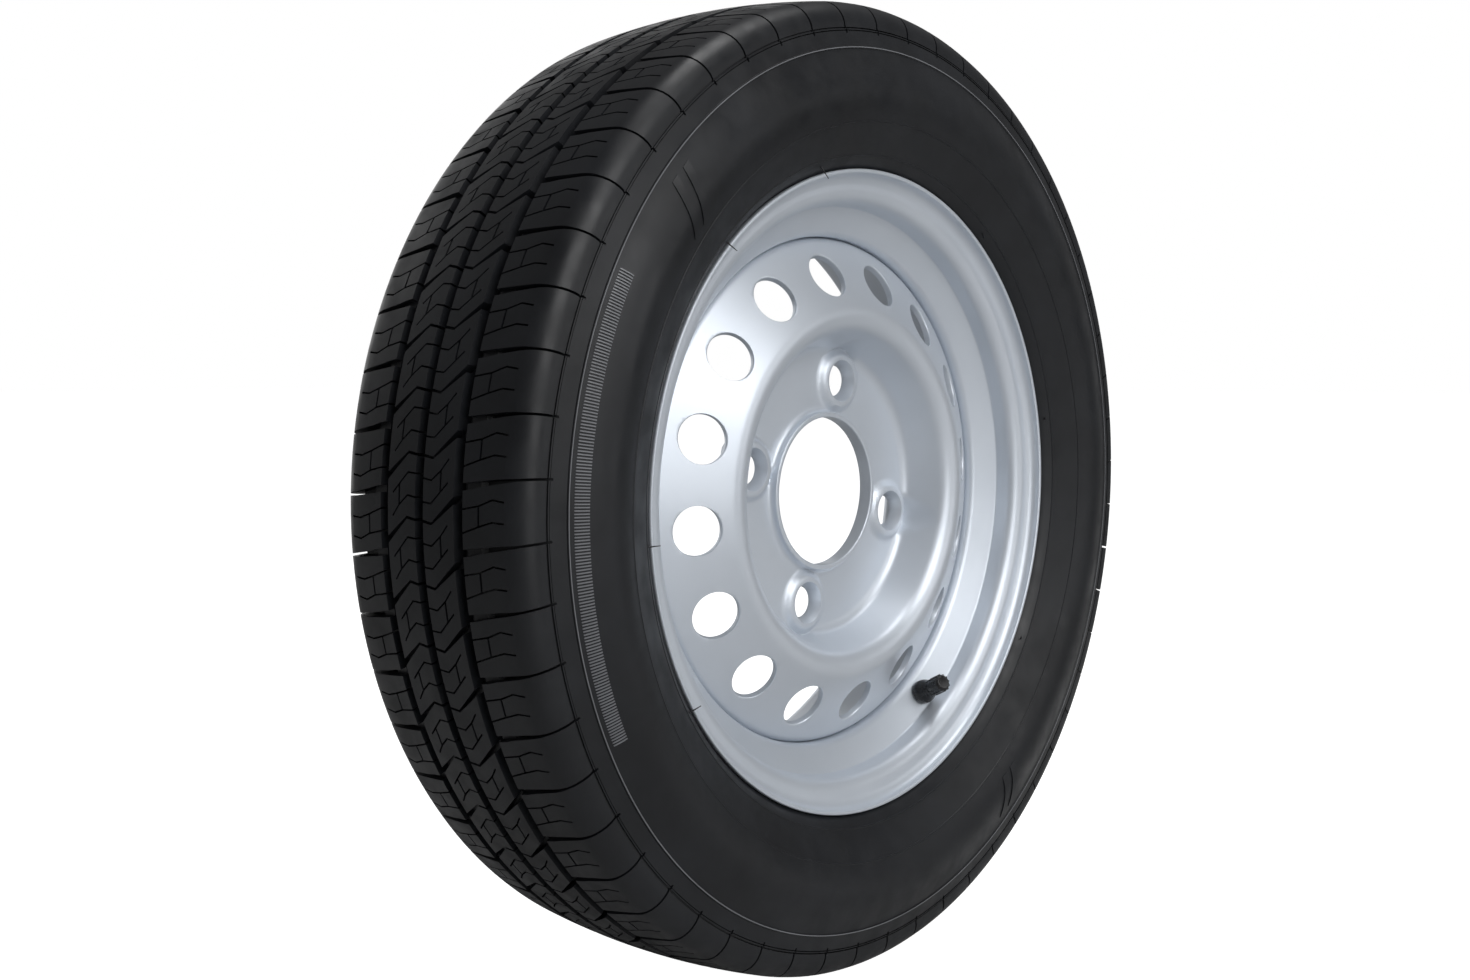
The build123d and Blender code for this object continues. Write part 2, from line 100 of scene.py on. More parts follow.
def edit(shape: Shape) -> None:
    """Opens one shape in edit mode with all of it selected."""
    pick(shape)
    bpy.ops.object.mode_set(mode="EDIT")
    bpy.ops.mesh.select_mode(type="VERT")
    bpy.ops.mesh.select_all(action="SELECT")


def close_edit() -> None:
    """Goes back to object mode."""
    bpy.ops.object.mode_set(mode="OBJECT")


def rounded(corners: list[tuple[float, float, float]], step: float) -> list[Point]:
    """Turns a line with named corner radii into points, with an arc at each corner.

    Args:
        corners: first number, second number and corner radius of each corner.
        step: the angle between two points of an arc, in degrees.

    Returns:
        The points of the line with its corners rounded.
    """
    points: list[Point] = [corners[0][:2]]
    for before, here, after in zip(corners, corners[1:], corners[2:]):
        corner = Vector(here[:2])
        back = (Vector(before[:2]) - corner).normalized()
        ahead = (Vector(after[:2]) - corner).normalized()
        if here[2] <= 0:
            points.append(here[:2])
            continue
        half = back.angle(ahead) / 2
        reach = here[2] / math.tan(half)
        centre = corner + (back + ahead).normalized() * here[2] / math.sin(half)
        start = corner + back * reach - centre
        turn = math.pi - 2 * half
        sign = 1 if back.x * ahead.y - back.y * ahead.x < 0 else -1
        count = max(2, math.ceil(math.degrees(turn) / step))
        for i in range(count + 1):
            spot = centre + Matrix.Rotation(sign * turn * i / count, 2) @ start
            points.append((spot.x, spot.y))
    points.append(corners[-1][:2])
    return points


def divided(points: list[Point], longest: float) -> list[Point]:
    """Adds points so that no run of a line is longer than a limit.

    Args:
        points: the line.
        longest: the longest run that stays whole.

    Returns:
        The line with the added points.
    """
    made = [points[0]]
    for a, b in zip(points, points[1:]):
        count = max(1, math.ceil(math.dist(a, b) / longest - 1e-6))
        for i in range(1, count + 1):
            made.append((a[0] + (b[0] - a[0]) * i / count, a[1] + (b[1] - a[1]) * i / count))
    return made


def beside(points: list[Point], distance: float) -> list[Point]:
    """Moves a line sideways, to its left for a positive distance.

    Args:
        points: the line.
        distance: how far it moves.

    Returns:
        The moved line, point by point.
    """
    moved = []
    for i, here in enumerate(points):
        before = Vector(points[max(0, i - 1)])
        after = Vector(points[min(len(points) - 1, i + 1)])
        a = (Vector(here) - before).normalized() if i else (after - Vector(here)).normalized()
        b = (after - Vector(here)).normalized() if i < len(points) - 1 else a
        along = (a + b).normalized()
        stretch = 1 / max(0.5, along.dot(a))
        moved.append((here[0] - along.y * distance * stretch, here[1] + along.x * distance * stretch))
    return moved


def tangent_arc(start: Point, heading: Point, end: Point, count: int) -> list[Point]:
    """Points of the arc that leaves a point in one direction and ends in another point.

    Args:
        start: where it leaves.
        heading: the direction in which it leaves.
        end: where it ends.
        count: how many runs it has.

    Returns:
        The points after the start, the end included.
    """
    chord = Vector(end) - Vector(start)
    ahead = Vector(heading).normalized()
    normal = Vector((-ahead.y, ahead.x))
    radius = chord.length_squared / (2 * chord.dot(normal))
    centre = Vector(start) + normal * radius
    first = Vector(start) - centre
    turn = 2 * ahead.angle_signed(chord)
    made = []
    for i in range(1, count + 1):
        spot = centre + Matrix.Rotation(-turn * i / count, 2) @ first
        made.append((spot.x, spot.y))
    return made


def smooth_line(
    knots: list[Point], longest: float, ends: tuple[Point, Point] | None = None
) -> list[Point]:
    """A smooth line through a few knots.

    Args:
        knots: the points that it goes through.
        longest: the longest run between two of its points.
        ends: the directions in which it starts and ends, if they are given.

    Returns:
        The points of the line.
    """
    spots = [Vector(k) for k in knots]
    gaps = [(b - a).length for a, b in zip(spots, spots[1:])]
    slopes = [(b - a) / g for a, b, g in zip(spots, spots[1:], gaps)]
    inner = [
        (slopes[i] * gaps[i + 1] + slopes[i + 1] * gaps[i]) / (gaps[i] + gaps[i + 1])
        for i in range(len(slopes) - 1)
    ]
    if ends:
        start, end = Vector(ends[0]).normalized(), Vector(ends[1]).normalized()
    else:
        start, end = slopes[0] * 2 - inner[0], slopes[-1] * 2 - inner[-1]
    tangents = [start, *inner, end]
    made = [knots[0]]
    for i, gap in enumerate(gaps):
        count = max(2, math.ceil(gap / longest))
        for j in range(1, count + 1):
            t = j / count
            spot = (
                spots[i] * (2 * t**3 - 3 * t**2 + 1)
                + tangents[i] * gap * (t**3 - 2 * t**2 + t)
                + spots[i + 1] * (3 * t**2 - 2 * t**3)
                + tangents[i + 1] * gap * (t**3 - t**2)
            )
            made.append((spot.x, spot.y))
    return made


def on_section(points: Iterable[Point]) -> list[Vector]:
    """Places section points, radius first and Y second, above the wheel's axis, in metres."""
    return [Vector((0.0, y, r)) * MM for r, y in points]


def on_lathe(points: Iterable[Point]) -> list[Vector]:
    """Places lathe points, radius first and height second, beside the Z axis, in metres."""
    return [Vector((r, 0.0, z)) * MM for r, z in points]


def small_circle(middle: Vector, radius: float, up: Vector, sides: int) -> list[Vector]:
    """Corners of a small circle that lies along X.

    Args:
        middle: its middle, in millimetres.
        radius: its radius.
        up: the other direction that it lies along.
        sides: how many corners it has.

    Returns:
        The corners, in metres.
    """
    corners = []
    for i in range(sides):
        a = math.tau * i / sides
        corners.append((middle + (Vector((1, 0, 0)) * math.cos(a) + up * math.sin(a)) * radius) * MM)
    return corners


def draw(name: str, points: list[Vector], closed: bool = True) -> Shape:
    """Draws a wire by extruding one vertex from point to point.

    Args:
        name: the new shape's name.
        points: where the wire goes.
        closed: True to join its ends.

    Returns:
        The new shape, in edit mode with all of it selected.
    """
    deselect()
    bpy.ops.mesh.primitive_plane_add(size=MM, location=ORIGIN)
    shape = bpy.context.active_object
    shape.name = name
    shape.data.name = name
    edit(shape)
    bpy.ops.mesh.merge(type="CENTER")
    bpy.ops.transform.translate(value=points[0])
    for a, b in zip(points, points[1:]):
        bpy.ops.mesh.extrude_vertices_move(TRANSFORM_OT_translate={"value": b - a})
    if closed:
        wire = bmesh.from_edit_mesh(shape.data)
        wire.verts.ensure_lookup_table()
        wire.verts[0].select_set(True)
        bmesh.update_edit_mesh(shape.data)
        bpy.ops.mesh.edge_face_add()
    bpy.ops.mesh.select_all(action="SELECT")
    return shape


def turn(shape: Shape, steps: int, axis: tuple[float, float, float] = WHEEL_AXIS) -> Shape:
    """Spins the wire of a shape in edit mode once round an axis through the origin and closes it.

    Args:
        shape: the shape that draw has made.
        steps: how many steps the full turn has.
        axis: the direction of the axis.

    Returns:
        The same shape, in object mode.
    """
    bpy.ops.mesh.spin(steps=steps, angle=math.tau, center=ORIGIN, axis=axis)
    bpy.ops.mesh.select_all(action="SELECT")
    bpy.ops.mesh.remove_doubles(threshold=WELD / 10)
    bpy.ops.mesh.normals_make_consistent(inside=False)
    close_edit()
    return shape


def prism(name: str, outline: list[Vector], rise: Vector) -> Shape:
    """A solid with a drawn outline as its foot.

    Args:
        name: the new shape's name.
        outline: the corners of its foot.
        rise: from the foot to the top.

    Returns:
        The new shape, in object mode.
    """
    shape = draw(name, outline)
    bpy.ops.mesh.edge_face_add()
    bpy.ops.mesh.extrude_region_move(TRANSFORM_OT_translate={"value": rise})
    bpy.ops.mesh.select_all(action="SELECT")
    bpy.ops.mesh.normals_make_consistent(inside=False)
    close_edit()
    return shape


def move_in_place(shape: Shape, placement: Matrix) -> Shape:
    """Moves a shape and puts its place into its mesh.

    Args:
        shape: the shape.
        placement: where it goes.

    Returns:
        The same shape.
    """
    pick(shape)
    shape.matrix_world = placement @ shape.matrix_world
    bpy.ops.object.transform_apply(location=True, rotation=True, scale=True)
    return shape


def about_wheel(degrees: float) -> Matrix:
    """The turn about the wheel's axis that goes from the top towards +X."""
    return Matrix.Rotation(math.radians(degrees), 4, "Y")


def copy_of(shape: Shape, placement: Matrix) -> Shape:
    """A copy of a shape, with its own mesh, at another place.

    Args:
        shape: the shape that is copied.
        placement: where the copy goes.

    Returns:
        The copy.
    """
    pick(shape)
    bpy.ops.object.duplicate(linked=False)
    return move_in_place(bpy.context.active_object, placement)


def joined(shapes: list[Shape], name: str) -> Shape:
    """Joins shapes into the first one.

    Args:
        shapes: the shapes.
        name: the name of the result.

    Returns:
        The joined shape.
    """
    pick(*shapes)
    if len(shapes) > 1:
        bpy.ops.object.join()
    whole = bpy.context.active_object
    whole.name = name
    whole.data.name = name
    return whole


def combine(shape: Shape, tool: Shape, how: Cut = Cut.AWAY, overlapping: bool = False) -> None:
    """Cuts a tool out of a shape, or joins it on, and removes the tool.

    Args:
        shape: the shape that changes.
        tool: the shape that cuts or is added.
        how: which of the two.
        overlapping: True if parts of the tool reach into each other.
    """
    modifier = shape.modifiers.new("cut", "BOOLEAN")
    modifier.operation = how.value
    modifier.solver = "EXACT"
    modifier.use_self = overlapping
    modifier.object = tool
    pick(shape)
    bpy.ops.object.modifier_apply(modifier=modifier.name)
    bpy.data.objects.remove(tool)


def shade(shape: Shape, degrees: float) -> None:
    """Shades a shape smooth, with edges above an angle kept sharp."""
    pick(shape)
    bpy.ops.object.shade_smooth_by_angle(angle=math.radians(degrees))


def pick_faces(shape: Shape, wanted: Callable[[Face], bool]) -> None:
    """Selects, in edit mode, the faces that pass a test.

    Args:
        shape: the shape in edit mode.
        wanted: the test.
    """
    bpy.ops.mesh.select_mode(type="FACE")
    bpy.ops.mesh.select_all(action="DESELECT")
    mesh = bmesh.from_edit_mesh(shape.data)
    for face in mesh.faces:
        face.select_set(wanted(face))
    bmesh.update_edit_mesh(shape.data)


def sector(name: str, outline: list[Point], steps: int, angle: float) -> Shape:
    """A closed solid: a section spun through a part of a turn, from the top towards +X.

    Args:
        name: the new shape's name.
        outline: its closed section.
        steps: how many steps it has.
        angle: how far it goes round, in radians.

    Returns:
        The solid, in object mode.
    """
    shape = draw(name, on_section(outline))
    bpy.ops.mesh.spin(steps=steps, angle=-angle, center=ORIGIN, axis=WHEEL_AXIS)
    bpy.ops.mesh.select_all(action="SELECT")
    bpy.ops.mesh.fill_holes(sides=0)
    bpy.ops.mesh.normals_make_consistent(inside=False)
    close_edit()
    return shape


def in_spoke_plane(face: Face, angles: tuple[float, ...]) -> bool:
    """True if a face lies in a plane through the axis at one of some angles, in radians."""
    for angle in angles:
        normal = Vector((math.cos(angle), 0, -math.sin(angle)))
        if all(abs(v.co.dot(normal)) < WELD / 2 for v in face.verts):
            return True
    return False


def repeat_round(shape: Shape, count: int, hidden: Callable[[Face], bool]) -> None:
    """Opens the ends of a sector and copies it round the wheel into one skin.

    Args:
        shape: the sector.
        count: how many sectors make a full turn.
        hidden: the test for the faces that go first.
    """
    edit(shape)
    pick_faces(shape, hidden)
    bpy.ops.mesh.delete(type="FACE")
    bpy.ops.mesh.select_mode(type="VERT")
    bpy.ops.mesh.select_all(action="SELECT")
    rest = math.tau / count - math.tau
    bpy.ops.mesh.spin(steps=count - 1, angle=rest, dupli=True, center=ORIGIN, axis=WHEEL_AXIS)
    bpy.ops.mesh.select_all(action="SELECT")
    bpy.ops.mesh.remove_doubles(threshold=WELD)
    close_edit()


def sheet_outline(front: list[Point], gauge: float, edge: float) -> list[Point]:
    """Closed outline of a bent sheet whose edges are rounded.

    Args:
        front: the line of one face.
        gauge: the thickness, to the left of that line.
        edge: the radius of the edges.

    Returns:
        The points of the outline.
    """
    back = beside(front, gauge)
    first = [(*back[1], 0), (*back[0], edge), (*front[0], edge), (*front[1], 0)]
    last = [(*front[-2], 0), (*front[-1], edge), (*back[-1], edge), (*back[-2], 0)]
    start, end = rounded(first, EDGE_STEP)[1:-1], rounded(last, EDGE_STEP)[1:-1]
    return start + front[1:-1] + end + back[-2:0:-1]


class Shader:
    """A node material while it is put together."""

    def __init__(self, name: str, color: Color, metallic: float, roughness: float) -> None:
        """Starts a material with its plain values on the shader's own sockets.

        Args:
            name: the material's name.
            color: its base colour, linear.
            metallic: 0 for paint and rubber, 1 for bare metal.
            roughness: its plain roughness.
        """
        self.material = bpy.data.materials.new(name)
        self.material.use_nodes = True
        self.material.diffuse_color = (*color, 1.0)
        self.tree = self.material.node_tree
        self.surface = self.tree.nodes["Principled BSDF"]
        self.surface.inputs["Base Color"].default_value = (*color, 1.0)
        self.surface.inputs["Metallic"].default_value = metallic
        self.surface.inputs["Roughness"].default_value = roughness
        self.place = self.tree.nodes.new("ShaderNodeTexCoord").outputs["Object"]

    def set(self, **values: float) -> None:
        """Sets plain values on the shader's sockets, with _ for a space in a socket's name."""
        for name, value in values.items():
            self.surface.inputs[name.replace("_", " ")].default_value = value

    def link(self, output: Socket, target: Socket) -> None:
        """Links an output to an input."""
        self.tree.links.new(output, target)

    def drive(self, output: Socket, name: str) -> None:
        """Links an output to one of the shader's own sockets."""
        self.link(output, self.surface.inputs[name])

    def noise(self, scale: float, detail: float = 3.0, roughness: float = 0.5) -> Socket:
        """A noise on Object coordinates.

        Args:
            scale: how many waves it has in a metre.
            detail: how many finer layers it has.
            roughness: how strong the finer layers are.

        Returns:
            The noise value, from 0 to 1.
        """
        node = self.tree.nodes.new("ShaderNodeTexNoise")
        node.inputs["Scale"].default_value = scale
        node.inputs["Detail"].default_value = detail
        node.inputs["Roughness"].default_value = roughness
        self.link(self.place, node.inputs["Vector"])
        return node.outputs["Fac"]

    def spread(self, value: Socket, low: float, high: float) -> Socket:
        """Maps the middle of a noise, around a half, to a range.

        Args:
            value: the noise.
            low: what a value of NOISE_LOW becomes.
            high: what a value of NOISE_HIGH becomes.

        Returns:
            The mapped value.
        """
        node = self.tree.nodes.new("ShaderNodeMapRange")
        self.link(value, node.inputs["Value"])
        ends = {"From Min": NOISE_LOW, "From Max": NOISE_HIGH, "To Min": low, "To Max": high}
        for name, number in ends.items():
            node.inputs[name].default_value = number
        return node.outputs["Result"]

    def tint(self, factor: Socket, a: Color, b: Color) -> Socket:
        """Mixes two colours by a factor.

        Args:
            factor: 0 for the first colour and 1 for the second.
            a: the first colour.
            b: the second colour.

        Returns:
            The mixed colour.
        """
        node = self.tree.nodes.new("ShaderNodeMix")
        node.data_type = "RGBA"
        colors = [s for s in node.inputs if s.type == "RGBA"]
        colors[0].default_value = (*a, 1.0)
        colors[1].default_value = (*b, 1.0)
        self.link(factor, node.inputs["Factor"])
        return next(s for s in node.outputs if s.type == "RGBA")

    def vary_roughness(self, value: Socket, middle: float, spread: tuple[float, float]) -> None:
        """Lets a noise make the surface duller and glossier from place to place.

        Args:
            value: the noise.
            middle: the plain roughness.
            spread: how far below and above it the noise goes.
        """
        self.drive(self.spread(value, middle + spread[0], middle + spread[1]), "Roughness")

    def bump(self, height: Socket, depth: float, strength: float) -> None:
        """Gives the surface a fine relief.

        Args:
            height: the relief's height, from 0 to 1.
            depth: how high it is, in millimetres.
            strength: how much of it shows.
        """
        node = self.tree.nodes.new("ShaderNodeBump")
        node.inputs["Distance"].default_value = depth * MM
        node.inputs["Strength"].default_value = strength
        self.link(height, node.inputs["Height"])
        self.drive(node.outputs["Normal"], "Normal")


@dataclass(frozen=True)
class SatinPaint:
    """Silver-grey wheel paint with fine metal flakes and a little orange peel."""

    slot: str = "silver_paint"
    color: Color = (0.64, 0.685, 0.745)
    shadow: Color = (0.60, 0.645, 0.705)
    metallic: float = 0.55
    roughness: float = 0.40
    coat: float = 0.25
    coat_roughness: float = 0.2
    specular: float = 0.5
    cloud: float = 14.0
    flake: float = 9000.0
    flake_spread: tuple[float, float] = (-0.03, 0.05)
    peel: float = 320.0
    peel_depth: float = 0.03
    peel_strength: float = 0.25

    def material(self) -> bpy.types.Material:
        """Makes the paint."""
        shader = Shader("satin_silver_paint", self.color, self.metallic, self.roughness)
        shader.set(Coat_Weight=self.coat, Coat_Roughness=self.coat_roughness)
        shader.set(Specular_IOR_Level=self.specular)
        cloud = shader.spread(shader.noise(self.cloud), 0.0, 1.0)
        shader.drive(shader.tint(cloud, self.shadow, self.color), "Base Color")
        shader.vary_roughness(shader.noise(self.flake, detail=1.0), self.roughness, self.flake_spread)
        shader.bump(shader.noise(self.peel, detail=2.0), self.peel_depth, self.peel_strength)
        return shader.material


@dataclass(frozen=True)
class MouldedRubber:
    """Charcoal tyre rubber with a fine mould grain and a little dust."""

    slot: str = "tyre_rubber"
    name: str = "moulded_tyre_rubber"
    color: Color = (0.0060, 0.0066, 0.0082)
    dust: Color = (0.0105, 0.0116, 0.0142)
    roughness: float = 0.42
    specular: float = 0.36
    cloud: float = 22.0
    sheen: float = 60.0
    sheen_spread: tuple[float, float] = (-0.08, 0.08)
    grain: float = 1500.0
    grain_depth: float = 0.05
    grain_strength: float = 0.35

    def material(self) -> bpy.types.Material:
        """Makes the rubber."""
        shader = Shader(self.name, self.color, 0.0, self.roughness)
        shader.set(Specular_IOR_Level=self.specular)
        cloud = shader.spread(shader.noise(self.cloud, detail=6.0, roughness=0.6), 0.0, 1.0)
        shader.drive(shader.tint(cloud, self.color, self.dust), "Base Color")
        shader.vary_roughness(shader.noise(self.sheen, detail=4.0), self.roughness, self.sheen_spread)
        shader.bump(shader.noise(self.grain, detail=2.0), self.grain_depth, self.grain_strength)
        return shader.material


@dataclass(frozen=True)
class SmoothRubber:
    """Black rubber or plastic with a soft gloss."""

    slot: str
    color: Color
    roughness: float
    gloss: float = 400.0
    gloss_spread: tuple[float, float] = (-0.05, 0.07)
    grain: float = 2500.0
    grain_depth: float = 0.01
    grain_strength: float = 0.3

    def material(self) -> bpy.types.Material:
        """Makes the rubber."""
        shader = Shader("smooth_" + self.slot, self.color, 0.0, self.roughness)
        shader.vary_roughness(shader.noise(self.gloss), self.roughness, self.gloss_spread)
        shader.bump(shader.noise(self.grain, detail=2.0), self.grain_depth, self.grain_strength)
        return shader.material


@dataclass(frozen=True)
class TurnedMetal:
    """Bare metal with fine turning marks."""

    slot: str
    color: Color
    worn: Color
    roughness: float
    stain: float = 700.0
    marks: float = 3500.0
    marks_spread: tuple[float, float] = (-0.06, 0.08)

    def material(self) -> bpy.types.Material:
        """Makes the metal."""
        shader = Shader("turned_" + self.slot, self.color, 1.0, self.roughness)
        stain = shader.spread(shader.noise(self.stain, detail=4.0), 0.0, 1.0)
        shader.drive(shader.tint(stain, self.color, self.worn), "Base Color")
        shader.vary_roughness(shader.noise(self.marks, detail=2.0), self.roughness, self.marks_spread)
        return shader.material


Finish = SatinPaint | MouldedRubber | SmoothRubber | TurnedMetal
MATERIALS: dict[Finish, bpy.types.Material] = {}


def coat(shape: Shape, finish: Finish) -> None:
    """Gives a shape the material of a finish, which is made once.

    Args:
        shape: the shape.
        finish: what it is made of.
    """
    if finish not in MATERIALS:
        MATERIALS[finish] = finish.material()
    shape.data.materials.clear()
    shape.data.materials.append(MATERIALS[finish])


def present(shape: Shape, finish: Finish, body: str, *stands_for: str) -> Shape:
    """Gives a finished shape its material, its body and the solids that it stands for.

    Args:
        shape: the finished shape.
        finish: what it is made of.
        body: the body that it rides on.
        stands_for: the solids that it replaces.

    Returns:
        The same shape.
    """
    coat(shape, finish)
    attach(shape, body)
    if stands_for:
        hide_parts(*stands_for)
    faces = sum(len(p.vertices) - 2 for p in shape.data.polygons)
    log.info("%s: %d triangles on %s", shape.name, faces, body)
    return shape


@dataclass
class TreadPattern:
    """The grooves and fine cuts of half a pitch of the outboard tread.

    Paths give the way round the tyre first and the distance from the tyre's centre second.
    """

    pitch_count: int = 56
    groove_half_width: float = 3.0
    groove_floor: float = 1.6
    groove_toe: float = 0.8
    toe_slope: float = 0.9
    groove_depth: float = 7.5
    groove_spacing: float = 27.0
    rib_narrow: float = 0.7
    rib_wide: float = 2.0
    rib_path: tuple[Point, Point, Point] = ((0.0, 2.2), (-1.1, 9.0), (12.7, 27.0))
    rib_depth: float = 6.0
    lateral_start: float = 16.7
    lateral_lean: float = 8.0
    lateral_half_width: float = 1.7
    lateral_tip: float = 0.6
    lateral_reach: float = 0.42
    lateral_depth: float = 6.5
    taper_lead: float = 1.0
    tie_depth: float = 3.2
    tie_end: float = 38.5
    tie_ramp: float = 1.5
    sipe_width: float = 0.9
    sipe_depth: float = 4.0
    link_width: float = 1.2
    sipes: tuple[tuple[Point, ...], ...] = (
        ((8.8, 2.4), (8.4, 8.7), (14.0, 15.0), (18.5, 20.0)),
        ((20.0, 2.4), (19.2, 8.7), (24.0, 15.0), (29.5, 20.0)),
        ((26.3, 29.2), (29.9, 40.0), (32.3, 48.4), (31.9, 55.4)),
        ((37.4, 29.2), (39.4, 40.0), (42.6, 48.4), (41.8, 55.4)),
    )
    links: tuple[tuple[Point, Point], ...] = (((14.0, 15.0), (24.0, 15.0)), ((29.9, 40.0), (39.4, 40.0)))
    neighbours: tuple[int, ...] = (-2, -1, 1, 2)


@dataclass
class Tyre:
    """Radial road tyre: a ring of tread blocks on a casing with two sidewalls and two beads."""

    finish: MouldedRubber
    pattern: TreadPattern = field(default_factory=TreadPattern)
    radius: float = 273.5
    crown_radius: float = 420.0
    half_tread: float = 54.0
    shoulder: Point = (254.9, 66.6)
    buttress: Point = (245.7, 69.4)
    shoulder_runs: int = 7
    rib_runs: int = 5
    mould_line: float = 0.7
    mould_lip: float = 0.4
    mould_groove: Point = (0.15, 0.75)
    mould_ridge: tuple[float, float, float] = (0.95, 1.6, 2.0)
    columns: int = 4
    underside_slope: float = -0.3
    underlay: tuple[Point, ...] = ((250.5, 63.5), (259.0, 54.0), (261.5, 30.0), (262.0, 0.0))
    clearance: float = 6.0
    wall_knots: tuple[Point, ...] = ((219.0, 76.95), (199.75, 70.5), (180.175, 56.324))
    wall_ends: tuple[Point, Point] = ((-9.2, 2.8), (-0.342, -0.940))
    wall_step: float = 2.2
    ridge_drop: float = 1.6
    ridge_width: float = 1.5
    ridge_height: float = 0.6
    rings: tuple[float, ...] = (205.0, 187.5)
    ring_width: float = 1.2
    ring_height: float = 0.3
    cover_centre: Point = (172.0, 59.3)
    cover_radius: float = 8.7
    cover_start: float = -20.0
    cover_sweep: float = -70.0
    cover_runs: int = 6
    heel: tuple[float, float, float] = (164.9, 50.6, 6.0)
    heel_step: float = 20.0
    toe: Point = (163.85, 38.8)
    bead_top: Point = (180.5, 41.3)
    liner_knots: tuple[Point, ...] = ((219.0, 70.5), (245.7, 58.4), (256.52, 40.0), (258.5, 0.0))
    liner_step: float = 6.0
    crease: float = 32.0

    def crown(self, y: float) -> float:
        """Radius of the crown at a distance from the tyre's centre plane."""
        return self.radius - self.crown_radius + math.sqrt(self.crown_radius**2 - y**2)

    def main_groove(self, y: float) -> list[Point]:
        """Section of the straight groove that is centred on a distance from the centre plane."""
        p = self.pattern
        floor = self.crown(y) - p.groove_depth
        half = [
            (self.crown(y + p.groove_half_width), p.groove_half_width),
            (floor + p.groove_toe, p.groove_floor + p.groove_toe * p.toe_slope),
            (floor, p.groove_floor),
        ]
        left = [(r, y - offset) for r, offset in half]
        right = [(r, y + offset) for r, offset in reversed(half)]
        left[0] = (self.crown(y - p.groove_half_width), y - p.groove_half_width)
        return left + right

    def rib(self, start: float, end: float) -> list[Point]:
        """Points of the crown between two grooves, both ends left out."""
        steps = [start + (end - start) * i / self.rib_runs for i in range(1, self.rib_runs)]
        return [(self.crown(y), y) for y in steps]

    def shoulder_line(self) -> list[Point]:
        """Section from the edge of the tread to the lower edge of the buttress, with the mould line."""
        edge = (self.crown(self.half_tread), self.half_tread)
        slope = -self.half_tread / math.sqrt(self.crown_radius**2 - self.half_tread**2)
        bend = tangent_arc(edge, (slope, 1.0), self.shoulder, self.shoulder_runs)
        down = (Vector(self.buttress) - Vector(self.shoulder)).normalized()
        inward = Vector((-down.y, down.x)) * self.mould_line
        top = Vector(self.shoulder)
        lip = -inward * self.mould_lip
        foot, crest, end = self.mould_ridge
        line = [top + down * share + inward for share in self.mould_groove]
        line += [top + down * foot + lip, top + down * crest + lip, top + down * end]
        return [edge, *bend, *[tuple(v) for v in line], self.buttress]

    def tread_line(self) -> list[Point]:
        """Whole outer section of the tread, from the outboard buttress to the inboard one."""
        p = self.pattern
        gap, half = p.groove_spacing, p.groove_half_width
        shoulder = self.shoulder_line()
        line = [(r, -y) for r, y in reversed(shoulder)]
        line += self.rib(-self.half_tread, -gap - half)
        line += self.main_groove(-gap) + self.rib(-gap + half, -half)
        line += self.main_groove(0.0) + self.rib(half, gap - half)
        line += self.main_groove(gap) + self.rib(gap + half, self.half_tread)
        return line + shoulder

    def underside(self) -> list[Point]:
        """The line between tread and casing, from the inboard side to the outboard one."""
        return [*self.underlay, *[(r, -y) for r, y in reversed(self.underlay[:-1])]]

    def cutter(self, name: str, outline: list[Point], depth: float) -> Shape:
        """A groove cutter that stands square on the tread at the middle of its outline.

        Args:
            name: the cutter's name.
            outline: its corners, the way round the tyre first.
            depth: how far it goes below the crown.

        Returns:
            The cutter, at its place.
        """
        middle = sum(u for u, _ in outline) / len(outline)
        floor = self.crown(sum(v for _, v in outline) / len(outline)) - depth
        foot = [Vector((u - middle, -v, floor)) * MM for u, v in outline]
        tool = prism(name, foot, Vector((0, 0, depth + self.clearance)) * MM)
        return move_in_place(tool, about_wheel(math.degrees(middle / self.radius)))

    def lateral_cutter(self) -> Shape:
        """The cutter of the groove across the shoulder, shallow beside the main groove."""
        p = self.pattern
        start = p.groove_spacing
        top = self.radius + self.clearance
        tip = Vector(self.shoulder).lerp(Vector(self.buttress), p.lateral_reach)
        outline = [
            (start, self.crown(start) - p.tie_depth),
            (p.tie_end, self.crown(p.tie_end) - p.tie_depth),
            (p.tie_end + p.tie_ramp, self.crown(p.tie_end) - p.lateral_depth),
            (self.half_tread, self.crown(self.half_tread) - p.lateral_depth),
            (tip.y, tip.x),
            (tip.y + self.clearance, self.radius),
            (self.shoulder[1], top),
            (start, top),
        ]
        side = [Vector((-p.lateral_half_width, start - v, r)) * MM for v, r in outline]
        tool = prism("lateral", side, Vector((2 * p.lateral_half_width, 0, 0)) * MM)
        far_end = (start - self.half_tread + p.taper_lead) * MM
        edit(tool)
        bpy.ops.mesh.select_all(action="DESELECT")
        mesh = bmesh.from_edit_mesh(tool.data)
        for corner in mesh.verts:
            corner.select_set(corner.co.y < far_end)
        bmesh.update_edit_mesh(tool.data)
        thin = p.lateral_tip / p.lateral_half_width
        bpy.ops.transform.resize(value=(thin, 1, 1), center_override=ORIGIN)
        close_edit()
        lean = Matrix.Rotation(math.radians(p.lateral_lean), 4, "Z")
        place = Matrix.Translation(Vector((0, -start, 0)) * MM)
        turned = about_wheel(math.degrees(p.lateral_start / self.radius))
        return move_in_place(tool, turned @ place @ lean)

